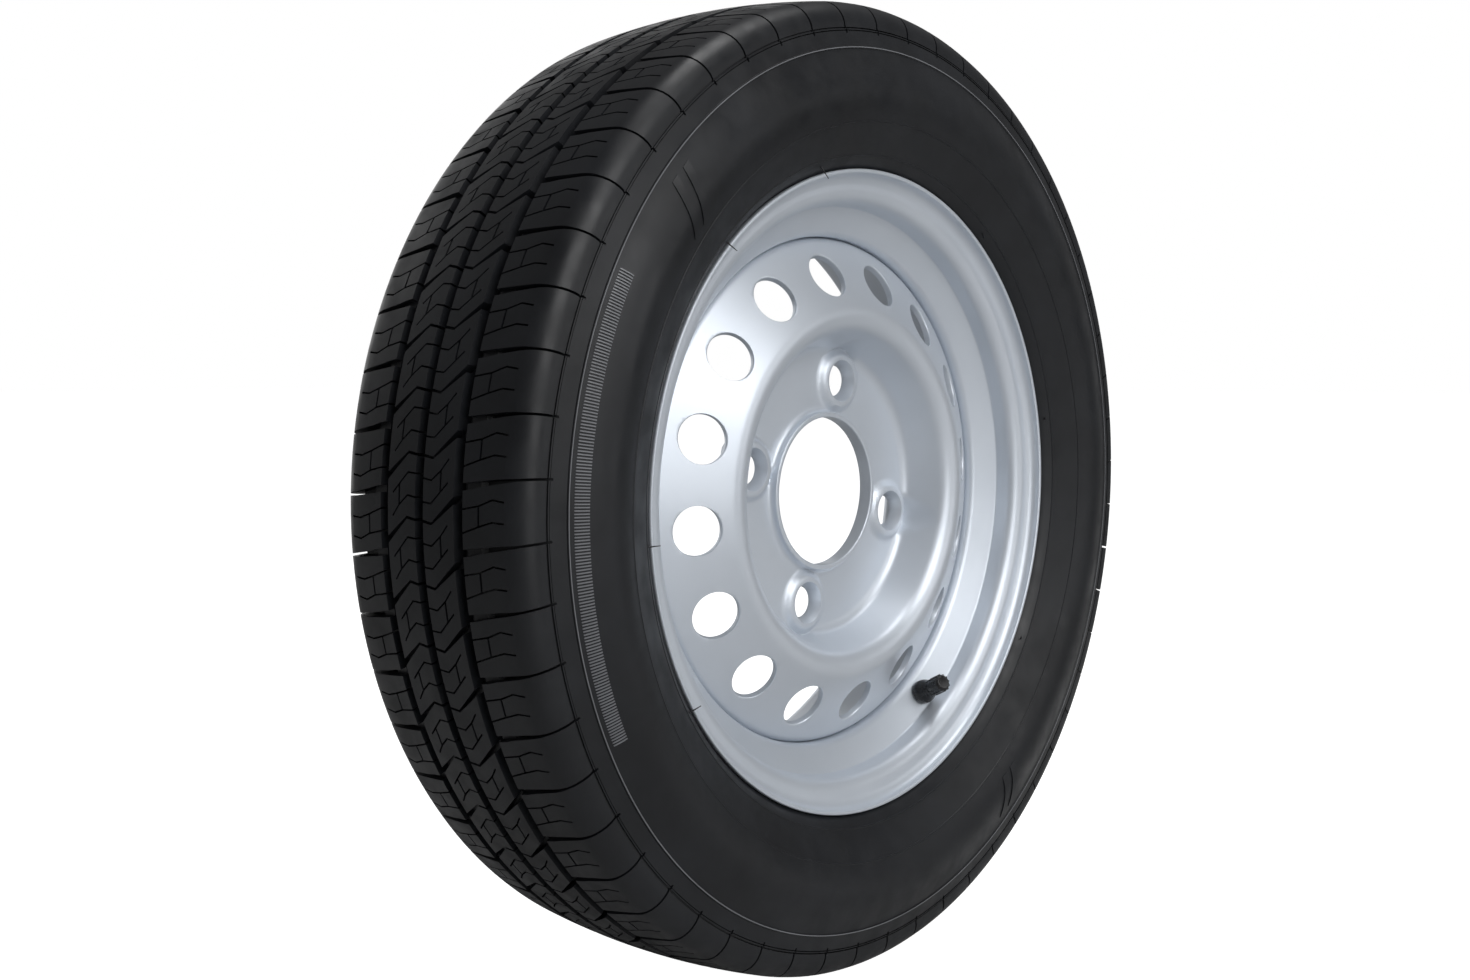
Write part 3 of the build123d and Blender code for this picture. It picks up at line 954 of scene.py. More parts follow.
    def cutters(self) -> Shape:
        """All cutters that reach into the first pitch, as one shape."""
        p = self.pattern
        (u0, v0), (u1, v1), (u2, v2) = p.rib_path
        n, w = p.rib_narrow, p.rib_wide
        rib = [(u0 + n, v0), (u0 - n, v0), (u1 - n, v1), (u2 - w, v2), (u2 + w, v2), (u1 + n, v1)]
        tools = [self.cutter("rib_groove", rib, p.rib_depth), self.lateral_cutter()]
        for path, width in [(s, p.sipe_width) for s in p.sipes] + [(s, p.link_width) for s in p.links]:
            line = list(path)
            outline = beside(line, width / 2) + list(reversed(beside(line, -width / 2)))
            tools.append(self.cutter("sipe", outline, p.sipe_depth))
        half = joined(tools, "half_pattern")
        other = copy_of(half, Matrix.Rotation(math.pi, 4, "Z"))
        both = joined([half, other], "pattern")
        pitch = 360 / p.pitch_count
        near = [copy_of(both, about_wheel(pitch * i)) for i in p.neighbours]
        return joined([both, *near], "tread_cutters")

    def cut_tread(self) -> Shape:
        """The tread blocks, open below: one pitch, cut once and copied round the wheel."""
        count = self.pattern.pitch_count
        pitch = math.tau / count
        tread = sector("tread", [*self.tread_line(), *self.underside()], self.columns, pitch)
        combine(tread, self.cutters(), overlapping=True)

        def is_hidden(face: Face) -> bool:
            """True for the two ends of the pitch and for its underside."""
            spot = face.calc_center_median()
            spoke = Vector((spot.x, 0, spot.z)).normalized()
            return in_spoke_plane(face, (0.0, pitch)) or face.normal.dot(spoke) < self.underside_slope

        repeat_round(tread, count, is_hidden)
        return tread

    def raised(self, line: list[Point], at: float, width: float, height: float) -> list[Point]:
        """Puts a small raised ring on a line of the sidewall.

        Args:
            line: the sidewall's line, from its outer end inwards.
            at: the ring's radius.
            width: how wide the ring is.
            height: how high it is.

        Returns:
            The line with the ring.
        """
        after = next(i for i, (r, _) in enumerate(line) if r < at)
        a, b = Vector(line[after - 1]), Vector(line[after])
        along = (b - a).normalized()
        out = Vector((along.y, -along.x))
        spot = a.lerp(b, (a.x - at) / (a.x - b.x))
        ring = [(-width / 2, 0.0), (-width / 4, height), (width / 4, height), (width / 2, 0.0)]
        bump = [tuple(spot + along * s + out * h) for s, h in ring]
        before = [q for q in line[:after] if (Vector(q) - spot).length > width]
        beyond = [q for q in line[after:] if (Vector(q) - spot).length > width]
        return before + bump + beyond

    def wall_line(self) -> list[Point]:
        """Outer line of a sidewall, from the buttress to the rim's flange."""
        return smooth_line([self.buttress, *self.wall_knots], self.wall_step, self.wall_ends)

    def ridge_radius(self) -> float:
        """Radius of the ridge below the shoulder."""
        return self.buttress[0] - self.ridge_drop

    def turn_casing(self) -> Shape:
        """The casing below the tread: two sidewalls, two beads and the inside."""
        wall = self.raised(self.wall_line(), self.ridge_radius(), self.ridge_width, self.ridge_height)
        for ring in self.rings:
            wall = self.raised(wall, ring, self.ring_width, self.ring_height)
        centre = Vector(self.cover_centre)
        cover = []
        for i in range(1, self.cover_runs + 1):
            a = math.radians(self.cover_start + self.cover_sweep * i / self.cover_runs)
            cover.append(tuple(centre + Vector((math.cos(a), math.sin(a))) * self.cover_radius))
        bead = rounded([(*cover[-1], 0), self.heel, (*self.toe, 0)], self.heel_step)[1:]
        inside = smooth_line([self.bead_top, *self.liner_knots], self.liner_step)
        half = wall + cover + bead + inside
        line = half + [(r, -y) for r, y in reversed(half[:-1])]
        casing = draw("casing", on_section(line), closed=False)
        steps = self.pattern.pitch_count * self.columns
        return turn(casing, steps)

    def build(self) -> Shape:
        """The whole tyre as one closed skin."""
        whole = joined([self.cut_tread(), self.turn_casing()], "tyre_skin")
        edit(whole)
        bpy.ops.mesh.remove_doubles(threshold=WELD)
        bpy.ops.mesh.normals_make_consistent(inside=False)
        close_edit()
        shade(whole, self.crease)
        return present(whole, self.finish, WHEEL_BODY, "tyre")


@dataclass
class SidewallRelief:
    """Raised ornament on the outboard sidewall: fine ribs, a bright line, slanted bars and hairs; the
    ribs and the line are in lighter rubber, a painted sheen.
    """

    tyre: Tyre
    # Painted sheen: a far lighter copy of the tyre rubber, both colours, standing in for the light that
    # the fine ribs and the line catch.
    painted_sheen_rubber: MouldedRubber = MouldedRubber(
        name="painted_sheen_tyre_rubber",
        color=(0.150, 0.154, 0.166),
        dust=(0.180, 0.185, 0.198),
        roughness=0.38,
    )
    band: tuple[float, float] = (234.3, 241.3)
    band_arc: tuple[float, float] = (-116.0, -61.0)
    rib_pitch: float = 1.5
    rib_width: float = 0.62
    rib_runs: int = 4
    height: float = 0.6
    sunk: float = 0.4
    bars: tuple[tuple[float, float, float, float], ...] = (
        (-47.5, 238.0, -50.5, 211.0),
        (-44.9, 238.0, -47.9, 211.0),
        (147.5, 236.0, 144.5, 213.0),
        (150.1, 236.0, 147.1, 213.0),
    )
    bar_width: float = 5.2
    bar_runs: int = 8
    bar_crease: float = 30.0
    line_width: float = 0.5
    line_height: float = 0.12
    line_sunk: float = 0.3
    line_steps: int = 224
    hairs: tuple[tuple[float, float], ...] = (
        (-43.5, 7.0), (-94.75, 6.0), (-16.0, 7.5), (-123.0, 6.5), (123.0, 5.0), (35.0, 5.0), (78.0, 6.0),
    )
    hair_radius: float = 0.45
    hair_tip: float = 0.2
    hair_sides: int = 8
    hair_foot: float = 184.5
    hair_sunk: float = -0.2
    hair_lean: float = 150.0
    hair_crease: float = 40.0

    def wall_depth(self, radius: float) -> float:
        """Distance of the sidewall from the centre plane at a radius."""
        line = self.tyre.wall_line()
        for a, b in zip(line, line[1:]):
            if b[0] <= radius <= a[0]:
                return a[1] + (b[1] - a[1]) * (a[0] - radius) / (a[0] - b[0])
        return line[-1][1]

    def strip(self, name: str, start: Point, end: Point, width: float, runs: int) -> Shape:
        """A raised strip on the outboard sidewall.

        Args:
            name: the strip's name.
            start: its angle in degrees and radius at one end.
            end: the same at its other end.
            width: how wide it is.
            runs: how many straight runs follow the wall's curve.

        Returns:
            The strip.
        """
        top, foot = [], []
        for i in range(runs + 1):
            angle = math.radians(start[0] + (end[0] - start[0]) * i / runs)
            r = start[1] + (end[1] - start[1]) * i / runs
            rise = self.height if 0 < i < runs else self.height / 2
            for line, out in ((top, rise), (foot, -self.sunk)):
                y = -self.wall_depth(r) - out
                line.append(Vector((r * math.sin(angle), y, r * math.cos(angle))) * MM)
        middle = math.radians((start[0] + end[0]) / 2)
        across = Vector((math.cos(middle), 0, -math.sin(middle))) * width * MM
        outline = [v - across / 2 for v in [*top, *reversed(foot)]]
        return prism(name, outline, across)

    def build_band(self) -> Shape:
        """The band of fine radial ribs, one rib copied along its arc, in the lighter rubber of the
        painted sheen.
        """
        low, high = self.band
        first, last = self.band_arc
        rib = self.strip("tyre_rib_band", (0.0, high), (0.0, low), self.rib_width, self.rib_runs)
        move_in_place(rib, about_wheel(first))
        count = round(math.radians(last - first) * (low + high) / 2 / self.rib_pitch)
        edit(rib)
        sweep = math.radians(first - last)
        bpy.ops.mesh.spin(steps=count, angle=sweep, dupli=True, center=ORIGIN, axis=WHEEL_AXIS)
        close_edit()
        return present(rib, self.painted_sheen_rubber, WHEEL_BODY)

    def build_line(self) -> Shape:
        """The fine bright line on the ridge below the shoulder, its brightness a painted highlight in
        lighter rubber.
        """
        r = self.tyre.ridge_radius()
        y = self.wall_depth(r) + self.tyre.ridge_height
        half, top, foot = self.line_width / 2, y + self.line_height, y - self.line_sunk
        section = [(r - half, -foot), (r + half, -foot), (r + half, -top), (r - half, -top)]
        line = turn(draw("tyre_bright_line", on_section(section)), self.line_steps)
        return present(line, self.painted_sheen_rubber, WHEEL_BODY)

    def build_bars(self) -> Shape:
        """The slanted bars."""
        made = []
        for start_angle, start_radius, end_angle, end_radius in self.bars:
            start, end = (start_angle, start_radius), (end_angle, end_radius)
            made.append(self.strip("bar", start, end, self.bar_width, self.bar_runs))
        bars = joined(made, "tyre_slanted_bars")
        shade(bars, self.bar_crease)
        return present(bars, self.tyre.finish, WHEEL_BODY)

    def build_hairs(self) -> Shape:
        """Thin moulding hairs that stand over the rim's lip."""
        made = []
        foot = Vector((0, self.hair_sunk - self.wall_depth(self.hair_foot), self.hair_foot)) * MM
        tip_in = Matrix.Rotation(math.radians(self.hair_lean), 4, "X")
        for angle, length in self.hairs:
            deselect()
            bpy.ops.mesh.primitive_cone_add(
                vertices=self.hair_sides,
                radius1=self.hair_radius * MM,
                radius2=self.hair_tip * MM,
                depth=length * MM,
                location=ORIGIN,
            )
            rise = Matrix.Translation(Vector((0, 0, length / 2)) * MM)
            place = about_wheel(angle) @ Matrix.Translation(foot) @ tip_in @ rise
            made.append(move_in_place(bpy.context.active_object, place))
        hairs = joined(made, "tyre_hairs")
        shade(hairs, self.hair_crease)
        return present(hairs, self.tyre.finish, WHEEL_BODY)

    def build(self) -> None:
        """All of the relief."""
        self.build_band()
        self.build_line()
        self.build_bars()
        self.build_hairs()


@dataclass(frozen=True)
class ValveSeat:
    """Where the valve goes through the outboard wall of the rim's well, square to it."""

    angle: float = 146.5
    radius: float = 154.859
    depth: float = -33.689
    lean: float = 29.98
    hole: float = 5.75

    def place(self) -> Matrix:
        """Turns and moves a shape from the Z axis onto the valve's axis."""
        spoke = Vector((math.sin(math.radians(self.angle)), 0, math.cos(math.radians(self.angle))))
        inward, outboard = math.sin(math.radians(self.lean)), math.cos(math.radians(self.lean))
        z = Vector((-inward * spoke.x, -outboard, -inward * spoke.z)).normalized()
        x = Vector((spoke.z, 0, -spoke.x))
        y = z.cross(x)
        spot = (spoke * self.radius + Vector((0, self.depth, 0))) * MM
        turned = Matrix((x, y, z)).transposed().to_4x4()
        return Matrix.Translation(spot) @ turned


@dataclass
class Rim:
    """Rolled steel rim with two flanges, two bead seats and a drop-centre well."""

    finish: SatinPaint
    valve: ValveSeat
    flange: float = 180.5
    lip: float = 60.5
    half_width: float = 50.8
    curl: float = 8.5
    seat: float = 164.7
    heel: float = 6.0
    seat_end: Point = (163.519, 37.3)
    bend: float = 4.0
    well: float = 147.4
    well_outboard: float = 28.0
    well_inboard: float = 12.0
    gauge: float = 2.4
    edge: float = 0.9
    arc_step: float = 9.0
    steps: int = 240
    punch_depth: float = 12.0
    punch_sides: int = 48
    crease: float = 30.0

    def section(self) -> list[Point]:
        """Closed section of the sheet, drawn along its tyre side."""
        seat_r, seat_y = self.seat_end
        front = rounded(
            [
                (self.flange, -self.lip, 0),
                (self.flange, -self.half_width, self.curl),
                (self.seat, -self.half_width, self.heel),
                (seat_r, -seat_y, self.bend),
                (self.well, -self.well_outboard, self.bend),
                (self.well, self.well_inboard, self.bend),
                (seat_r, seat_y, self.bend),
                (self.seat, self.half_width, self.heel),
                (self.flange, self.half_width, self.curl),
                (self.flange, self.lip, 0),
            ],
            self.arc_step,
        )
        return sheet_outline(front, self.gauge, self.edge)

    def build(self) -> Shape:
        """The rim with its valve hole."""
        rim = turn(draw("rim_sheet", on_section(self.section())), self.steps)
        deselect()
        bpy.ops.mesh.primitive_cylinder_add(
            vertices=self.punch_sides, radius=self.valve.hole * MM, depth=self.punch_depth * MM
        )
        combine(rim, move_in_place(bpy.context.active_object, self.valve.place()))
        shade(rim, self.crease)
        return present(rim, self.finish, WHEEL_BODY, "rim")


@dataclass
class WheelDisc:
    """Pressed disc: collared bore, pad with four nut seats, dished wall, crest and ring of vents."""

    finish: SatinPaint
    bore: float = 42.5
    collar: float = 45.5
    collar_end: float = -27.3
    collar_fillet: float = 3.0
    collar_edge: float = 0.8
    pad_front: float = -22.5
    pad_back: float = -19.0
    pad: float = 81.3
    pad_fillet: float = 7.0
    crest: Point = (95.397, -54.164)
    crest_bend: float = 11.0
    rim_edge: Point = (144.9, -25.614)
    edge_bend: float = 8.0
    flange_end: float = 4.386
    gauge: float = 3.5
    edge: float = 0.8
    arc_step: float = 8.0
    collar_step: float = 18.0
    run: float = 1.9
    steps: int = 360
    seam: float = -40.15
    crease: float = 30.0
    lug_count: int = 4
    lug_circle: float = 65.0
    lug_phase: float = 13.6
    throat: float = 8.8
    seat: float = 12.0
    seat_half_angle: float = 30.0
    boss_top: float = 14.0
    boss_base: float = 19.0
    boss_height: float = 3.6
    pocket_slope: float = 3.2
    backing: float = 22.5
    backing_slope: float = 3.9
    soften: float = 1.2
    press_margin: float = 8.0
    collar_margin: float = 0.5
    crest_margin: float = 4.0
    back_margin: float = 0.1
    punch_depth: float = -12.0
    punch_sides: int = 64
    seat_rise: float = 6.0
    vent_count: int = 16
    vent_radius: float = 13.25
    vent_phase: float = -6.4
    vent_spot: Point = (123.1, -38.2)
    vent_tilt: float = 30.0
    vent_round: float = 0.9
    vent_arc: tuple[float, ...] = (0.0, 25.0, 50.0, 75.0)
    vent_flare: tuple[Point, Point] = ((1.4, 0.2), (3.0, 1.2))

    def front(self) -> list[Point]:
        """The front of the sheet, without the collar."""
        corners = [
            (self.bore, self.pad_front, 0),
            (self.pad, self.pad_front, self.pad_fillet),
            (*self.crest, self.crest_bend),
            (*self.rim_edge, self.edge_bend),
            (self.rim_edge[0], self.flange_end, 0),
        ]
        return rounded(corners, self.arc_step)

    def section(self) -> list[Point]:
        """Closed section of the disc, from the collar's end round the front to the back."""
        collar = rounded(
            [
                (self.bore, self.pad_back, 0),
                (self.bore, self.collar_end, self.collar_edge),
                (self.collar, self.collar_end, self.collar_edge),
                (self.collar, self.pad_front, self.collar_fillet),
                (self.pad - self.pad_fillet * 2, self.pad_front, 0),
            ],
            self.collar_step,
        )
        sheet = self.front()
        back = divided(list(reversed(beside(sheet, self.gauge))), self.run * 2)
        ahead = divided([collar[-2], *sheet[1:]], self.run)
        foot = [(*ahead[-2], 0), (*ahead[-1], self.edge), (*back[0], self.edge), (*back[1], 0)]
        return collar[1:-2] + ahead[:-1] + rounded(foot, EDGE_STEP)[1:-1] + back[1:]

    def lugs(self) -> list[Vector]:
        """The middles of the nut seats, in millimetres, in the plane of the wheel."""
        turns = [math.radians(self.lug_phase + 360 / self.lug_count * i) for i in range(self.lug_count)]
        return [Vector((math.sin(t), 0, math.cos(t))) * self.lug_circle for t in turns]

    def pressed(self, y: float, distance: float, is_front: bool) -> float:
        """Where the press puts a point of the sheet near a nut seat.

        Args:
            y: its height before pressing.
            distance: how far it is from the nut seat's axis.
            is_front: True on the outboard face.

        Returns:
            Its height after pressing.
        """
        if not is_front:
            floor = min(self.pad_back, self.pad_back - (distance - self.backing) * self.backing_slope)
            return max(y, floor)
        pocket = min(self.pad_front, self.pad_front - (distance - self.boss_base) * self.pocket_slope)
        gap = max(self.soften - abs(y - pocket), 0.0)
        lowered = max(y, pocket) + gap * gap / self.soften / 4
        lowered = min(lowered, max(y, self.pad_front))
        t = min(1.0, max(0.0, (self.boss_base - distance) / (self.boss_base - self.boss_top)))
        return lowered - self.boss_height * t * t * (3 - 2 * t)

    def press(self, disc: Shape) -> None:
        """Presses the bosses and their pockets, which no operator forms on a curved wall."""
        reach = self.backing + self.press_margin
        inner, outer = self.collar + self.collar_margin, self.crest[0] + self.crest_margin
        lugs = self.lugs()
        for vertex in disc.data.vertices:
            spot = vertex.co / MM
            radius = math.hypot(spot.x, spot.z)
            if not inner < radius < outer or spot.y > self.pad_back + self.back_margin:
                continue
            distance = min(math.hypot(spot.x - lug.x, spot.z - lug.z) for lug in lugs)
            if distance < reach:
                is_front = vertex.normal.y < 0
                vertex.co.y = self.pressed(spot.y, distance, is_front) * MM

    def punch(self, name: str, points: list[Point], spot: Point, tilt: float) -> Shape:
        """A turned punch that stands on the disc at the top of the wheel.

        Args:
            name: the punch's name.
            points: its section, radius first and height second.
            spot: the radius and Y where its height is zero.
            tilt: how far it leans from the wheel's axis, in degrees.

        Returns:
            The punch, at its place.
        """
        tool = turn(draw(name, on_lathe(points)), self.punch_sides, LATHE_AXIS)
        stand = Matrix.Rotation(math.radians(90 - tilt), 4, "X")
        place = Matrix.Translation(Vector((0, spot[1], spot[0])) * MM)
        return move_in_place(tool, place @ stand)

    def seat_cutter(self) -> Shape:
        """The drill and countersink of one nut seat, along -Y at the top of the nut circle."""
        face, end = self.boss_height, self.boss_height + self.seat_rise
        slope = math.tan(math.radians(self.seat_half_angle))
        depth = (self.seat - self.throat) / slope
        points = [(0.0, self.punch_depth), (self.throat, self.punch_depth), (self.throat, face - depth)]
        points += [(self.seat, face), (self.seat + slope * self.seat_rise, end), (0.0, end)]
        return self.punch("seat", points, (self.lug_circle, self.pad_front), 0.0)

    def vent_cutter(self) -> Shape:
        """The punch of one vent, square to the sheet, with a rounded front edge."""
        r, soft = self.vent_radius, self.vent_round
        points = [(0.0, self.punch_depth), (r, self.punch_depth)]
        for a in map(math.radians, self.vent_arc):
            points.append((r + soft * (1 - math.cos(a)), -soft + soft * math.sin(a)))
        points += [(r + soft * share, height) for share, height in self.vent_flare]
        points.append((0.0, self.vent_flare[-1][1]))
        return self.punch("vent", points, self.vent_spot, self.vent_tilt)

    def cutters(self) -> Shape:
        """The nut seat and the vents of one quarter as one shape."""
        made = [move_in_place(self.seat_cutter(), about_wheel(self.lug_phase))]
        vent = self.vent_cutter()
        for i in range(self.vent_count // self.lug_count):
            angle = self.vent_phase + 360 / self.vent_count * (i - 1)
            made.append(copy_of(vent, about_wheel(angle)))
        bpy.data.objects.remove(vent)
        return joined(made, "punches")

    def build(self) -> Shape:
        """The pressed and punched disc."""
        quarter = math.tau / self.lug_count
        disc = sector("disc_pressing", self.section(), self.steps // self.lug_count, quarter)
        move_in_place(disc, about_wheel(self.seam))
        self.press(disc)
        combine(disc, self.cutters())
        start = math.radians(self.seam)
        repeat_round(disc, self.lug_count, lambda face: in_spoke_plane(face, (start, start + quarter)))
        shade(disc, self.crease)
        return present(disc, self.finish, WHEEL_BODY, "wheel_disc")


@dataclass
class Valve:
    """Snap-in valve: rubber body, brass stem with its core, and a ribbed cap on its own body."""

    seat: ValveSeat
    rubber: SmoothRubber
    plastic: SmoothRubber
    brass: TurnedMetal
    soft: SmoothRubber
    spring: TurnedMetal
    cap_body: str = "cap"
    body_line: tuple[Point, ...] = (
        (3.25, 14.0),
        (3.25, -6.05),
        (1.9, -6.05),
        (1.9, -8.3),
        (6.7, -8.3),
        (8.3, -5.1),
        (8.3, -2.9),
        (5.75, -1.3),
        (5.65, -1.3),
        (5.65, 1.3),
        (5.75, 1.3),
        (7.3, 2.9),
        (7.3, 4.3),
    )
    body_tip: Point = (5.0, 14.0)
    body_run: float = 0.9
    body_steps: int = 64
    body_crease: float = 35.0
    cap_foot: float = 14.6
    cap_end: float = 25.5
    cap_radius: float = 5.0
    cap_bevel: float = 1.2
    cap_bore: float = 4.025
    cap_roof: float = 22.9
    cap_lip_round: float = 0.3
    cap_round: float = 0.6
    cap_arc_step: float = 20.0
    cap_steps: int = 48
    cap_crease: float = 35.0
    rib_count: int = 12
    rib_radius: float = 0.5
    rib_sides: int = 10
    shank: float = 3.2
    stem_gap: float = 0.05
    thread_radius: float = 3.875
    thread_depth: float = 0.42
    thread_pitch: float = 0.794
    thread_flat: Point = (0.4, 0.6)
    stem_end: float = 22.0
    stem_bevel: float = 0.5
    stem_steps: int = 40
    stem_crease: float = 25.0
    stem_inside: tuple[Point, ...] = ((2.6, 22.0), (2.6, 12.0), (1.9, 10.0), (1.9, -6.0))
    spring_seat: float = 9.4
    spring_length: float = 4.59
    spring_radius: float = 0.875
    spring_wire: float = 0.35
    wire_sides: int = 8
    spring_turns: int = 5
    spring_steps: int = 18
    spring_crease: float = 50.0
    press_joint: str = "core_press"
    press_travel: float = 1.5

    def build_body(self) -> Shape:
        """The rubber body, turned from its section."""
        brow = self.body_line[-1]
        upright = (0.0, 1.0)
        line = smooth_line([brow, self.body_tip], self.body_run, (upright, upright))
        section = on_lathe([*self.body_line, *line[1:]])
        body = turn(draw("valve_rubber", section), self.body_steps, LATHE_AXIS)
        move_in_place(body, self.seat.place())
        shade(body, self.body_crease)
        return present(body, self.rubber, WHEEL_BODY, "valve_body")

    def build_stem(self) -> Shape:
        """The brass stem with its thread, turned from its section."""
        r, pitch = self.thread_radius, self.thread_pitch
        z = self.body_tip[1] + self.stem_gap
        thread = [(self.shank, z), (r - self.thread_depth, z)]
        while z + pitch < self.stem_end - self.stem_bevel:
            thread += [(r, z + pitch * share) for share in self.thread_flat]
            thread.append((r - self.thread_depth, z + pitch))
            z += pitch
        thread += [(r - self.stem_bevel, self.stem_end), *self.stem_inside]
        section = on_lathe([(self.shank, self.stem_inside[-1][1]), *thread])
        stem = turn(draw("threaded_stem", section), self.stem_steps, LATHE_AXIS)
        move_in_place(stem, self.seat.place())
        shade(stem, self.stem_crease)
        return present(stem, self.brass, WHEEL_BODY, "valve_stem")

    def build_cap(self) -> Shape:
        """The cap with its grip ribs."""
        r, bevel = self.cap_radius, self.cap_bevel
        line = rounded(
            [
                (self.cap_bore, self.cap_foot, 0),
                (r, self.cap_foot, self.cap_lip_round),
                (r, self.cap_end - bevel, self.cap_round),
                (r - bevel, self.cap_end, self.cap_round),
                (0, self.cap_end, 0),
            ],
            self.cap_arc_step,
        )
        section = on_lathe([*line, (0, self.cap_roof), (self.cap_bore, self.cap_roof)])
        cap = turn(draw("ribbed_cap", section), self.cap_steps, LATHE_AXIS)
        middle = Vector((r, 0, self.cap_foot))
        foot = small_circle(middle, self.rib_radius, Vector((0, 1, 0)), self.rib_sides)
        rib = prism("rib", foot, Vector((0, 0, self.cap_end - self.cap_foot - bevel)) * MM)
        edit(rib)
        copies = self.rib_count - 1
        turns = math.tau * copies / self.rib_count
        bpy.ops.mesh.spin(steps=copies, angle=turns, dupli=True, center=ORIGIN, axis=LATHE_AXIS)
        close_edit()
        combine(cap, rib, Cut.JOIN)
        move_in_place(cap, self.seat.place())
        shade(cap, self.cap_crease)
        return present(cap, self.plastic, self.cap_body, "valve_cap")

    def build_spring(self) -> Shape:
        """The coil spring round the pin."""
        half = self.spring_wire / 2
        middle = Vector((self.spring_radius, 0, self.spring_seat + half))
        coil = draw("coiled_spring", small_circle(middle, half, Vector(LATHE_AXIS), self.wire_sides))
        close_edit()
        screw = coil.modifiers.new("coil", "SCREW")
        screw.angle = math.tau * self.spring_turns
        screw.screw_offset = (self.spring_length - self.spring_wire) * MM
        screw.steps = screw.render_steps = self.spring_steps * self.spring_turns
        bpy.ops.object.modifier_apply(modifier=screw.name)
        edit(coil)
        bpy.ops.mesh.fill_holes(sides=0)
        bpy.ops.mesh.normals_make_consistent(inside=False)
        close_edit()
        place = self.seat.place()
        move_in_place(coil, place)
        shade(coil, self.spring_crease)
        present(coil, self.spring, WHEEL_BODY, "core_spring")
        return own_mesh(coil)

    def dress_core(self) -> None:
        """Gives the solids inside the valve their materials."""
        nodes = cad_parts
        for name in ("core_barrel", "core_pin"):
            coat(nodes[name], self.brass)
        for name in ("core_seal", "core_cup", "cap_gasket"):
            coat(nodes[name], self.soft)

    def build(self) -> None:
        """The whole valve."""
        self.build_body()
        self.build_stem()
        self.build_cap()
        self.build_spring()
        self.dress_core()


@dataclass
class Lamp:
    """A soft rectangular studio light."""

    name: str
    place: tuple[float, float, float]
    aim: tuple[float, float, float]
    width: float
    height: float
    power: float

    def build(self) -> None:
        """Hangs the light."""
        deselect()
        bpy.ops.object.light_add(type="AREA", location=self.place)
        lamp = bpy.context.active_object
        lamp.name = self.name
        lamp.data.shape = "RECTANGLE"
        lamp.data.size = self.width
        lamp.data.size_y = self.height
        lamp.data.energy = self.power
        lamp.visible_camera = False
        heading = Vector(self.aim) - Vector(self.place)
        lamp.rotation_euler = heading.to_track_quat("-Z", "Y").to_euler()


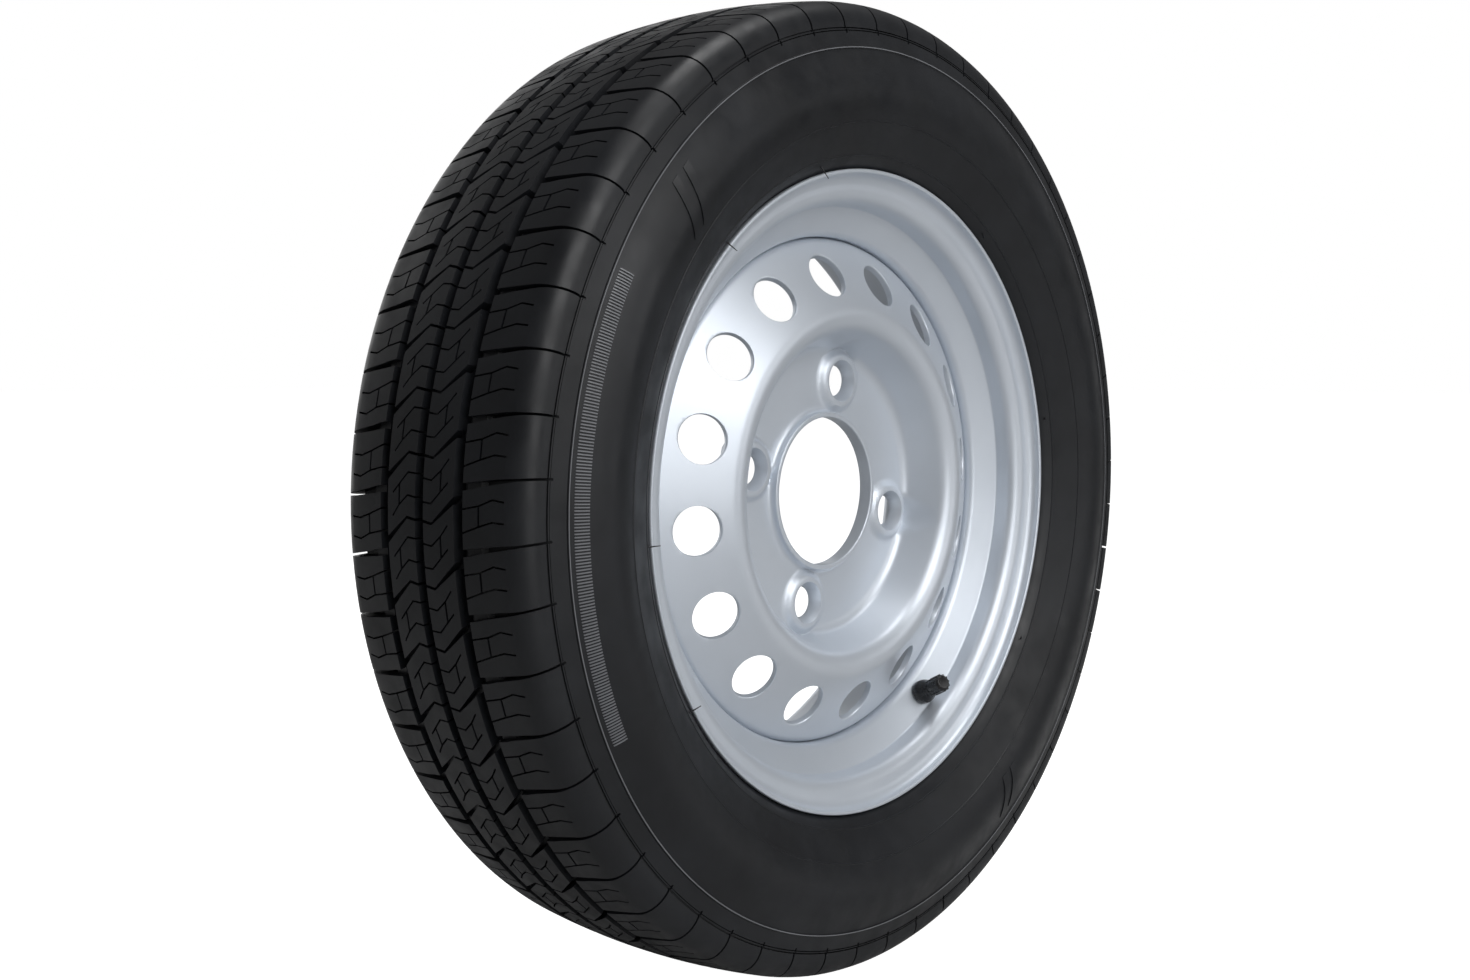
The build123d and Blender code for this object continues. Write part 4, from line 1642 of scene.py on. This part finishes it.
@dataclass
class Studio:
    """White floor, soft lights and the camera at the photograph's viewing angle."""

    floor_level: float = -0.2735
    floor_size: float = 40.0
    floor_color: Color = (0.5, 0.5, 0.5)
    floor_roughness: float = 0.8
    floor_glow: float = 1.0
    sky: float = 0.18
    backdrop: float = 1.0
    white: tuple[float, float, float, float] = (1.0, 1.0, 1.0, 1.0)
    azimuth: float = -48.887
    elevation: float = 4.153
    target: tuple[float, float, float] = (0.0, -0.0605, 0.0)
    distance: float = 0.97366
    shift_right: float = -0.07783
    shift_up: float = 0.00219
    lens: float = 42.398
    sensor: float = 36.0
    nearest: float = 0.01
    lamps: tuple[Lamp, ...] = (
        Lamp("key", (-0.5, -2.0, 1.4), (0, 0, 0), 1.8, 1.4, 30.0),
        Lamp("low", (-0.7, -2.0, 0.2), (0, 0, 0), 1.0, 0.7, 5.0),
        Lamp("right", (0.9, -1.9, 0.4), (0, 0, 0), 0.9, 0.9, 4.0),
        Lamp("top", (0.4, -0.4, 2.2), (0, 0, 0), 1.0, 1.0, 16.0),
        Lamp("back", (0.6, 1.9, 0.5), (0, 0, 0.1), 2.6, 1.6, 12.0),
    )

    def seen_level(self, tree: bpy.types.NodeTree, cast: float, seen: float) -> Socket:
        """A brightness that is one value as a light and another as a backdrop.

        Args:
            tree: the node tree that it is for.
            cast: what it lights the object with.
            seen: what the camera sees of it.

        Returns:
            The brightness.
        """
        path = tree.nodes.new("ShaderNodeLightPath")
        level = tree.nodes.new("ShaderNodeMapRange")
        level.inputs["To Min"].default_value = cast
        level.inputs["To Max"].default_value = seen
        tree.links.new(path.outputs["Is Camera Ray"], level.inputs["Value"])
        return level.outputs["Result"]

    def build_floor(self) -> None:
        """The plain pale floor."""
        deselect()
        bpy.ops.mesh.primitive_plane_add(size=self.floor_size, location=(0, 0, self.floor_level))
        floor = bpy.context.active_object
        floor.name = "floor"
        shader = Shader("floor_white", self.floor_color, 0.0, self.floor_roughness)
        shader.surface.inputs["Emission Color"].default_value = self.white
        seen = self.seen_level(shader.tree, 0.0, self.floor_glow)
        shader.drive(seen, "Emission Strength")
        floor.data.materials.append(shader.material)

    def build_sky(self) -> None:
        """Even white light from all round."""
        world = bpy.data.worlds.new("studio_white")
        world.use_nodes = True
        tree = world.node_tree
        backdrop = tree.nodes["Background"]
        backdrop.inputs["Color"].default_value = self.white
        tree.links.new(self.seen_level(tree, self.sky, self.backdrop), backdrop.inputs["Strength"])
        bpy.context.scene.world = world
        bpy.context.scene.view_settings.view_transform = "Standard"

    def build_camera(self) -> None:
        """The camera, placed as it was for the photograph."""
        a, e = math.radians(self.azimuth), math.radians(self.elevation)
        back = Vector((math.sin(a) * math.cos(e), -math.cos(a) * math.cos(e), math.sin(e)))
        right = Vector((math.cos(a), math.sin(a), 0))
        up = back.cross(right)
        deselect()
        bpy.ops.object.camera_add()
        camera = bpy.context.active_object
        camera.name = "camera"
        spot = Vector(self.target) + back * self.distance + right * self.shift_right + up * self.shift_up
        turned = Matrix((right, up, back)).transposed().to_4x4()
        camera.matrix_world = Matrix.Translation(spot) @ turned
        camera.data.sensor_fit = "HORIZONTAL"
        camera.data.sensor_width = self.sensor
        camera.data.lens = self.lens
        camera.data.clip_start = self.nearest
        bpy.context.scene.camera = camera

    def build(self) -> None:
        """Everything round the object."""
        self.build_floor()
        self.build_sky()
        for lamp in self.lamps:
            lamp.build()
        self.build_camera()


def main() -> None:
    """Builds the wheel, dresses the solids that stay and sets up the studio."""
    logging.basicConfig(level=logging.INFO, format="%(relativeCreated)d ms %(message)s")
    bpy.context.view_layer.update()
    paint = SatinPaint()
    tyre = Tyre(MouldedRubber())
    tyre.build()
    SidewallRelief(tyre).build()
    seat = ValveSeat()
    Rim(paint, seat).build()
    WheelDisc(paint).build()
    coat(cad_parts["disc_welds"], paint)
    Valve(
        seat,
        rubber=SmoothRubber("valve_rubber", (0.008, 0.008, 0.009), 0.25),
        plastic=SmoothRubber("cap_plastic", (0.008, 0.008, 0.009), 0.24),
        brass=TurnedMetal("brass", (0.78, 0.57, 0.26), (0.62, 0.44, 0.19), 0.3),
        soft=SmoothRubber("soft_seal", (0.25, 0.05, 0.04), 0.6),
        spring=TurnedMetal("spring_steel", (0.55, 0.55, 0.54), (0.42, 0.42, 0.41), 0.32),
    ).build()
    Studio().build()
    deselect()
    bpy.context.view_layer.update()


if __name__ == "__main__":
    main()
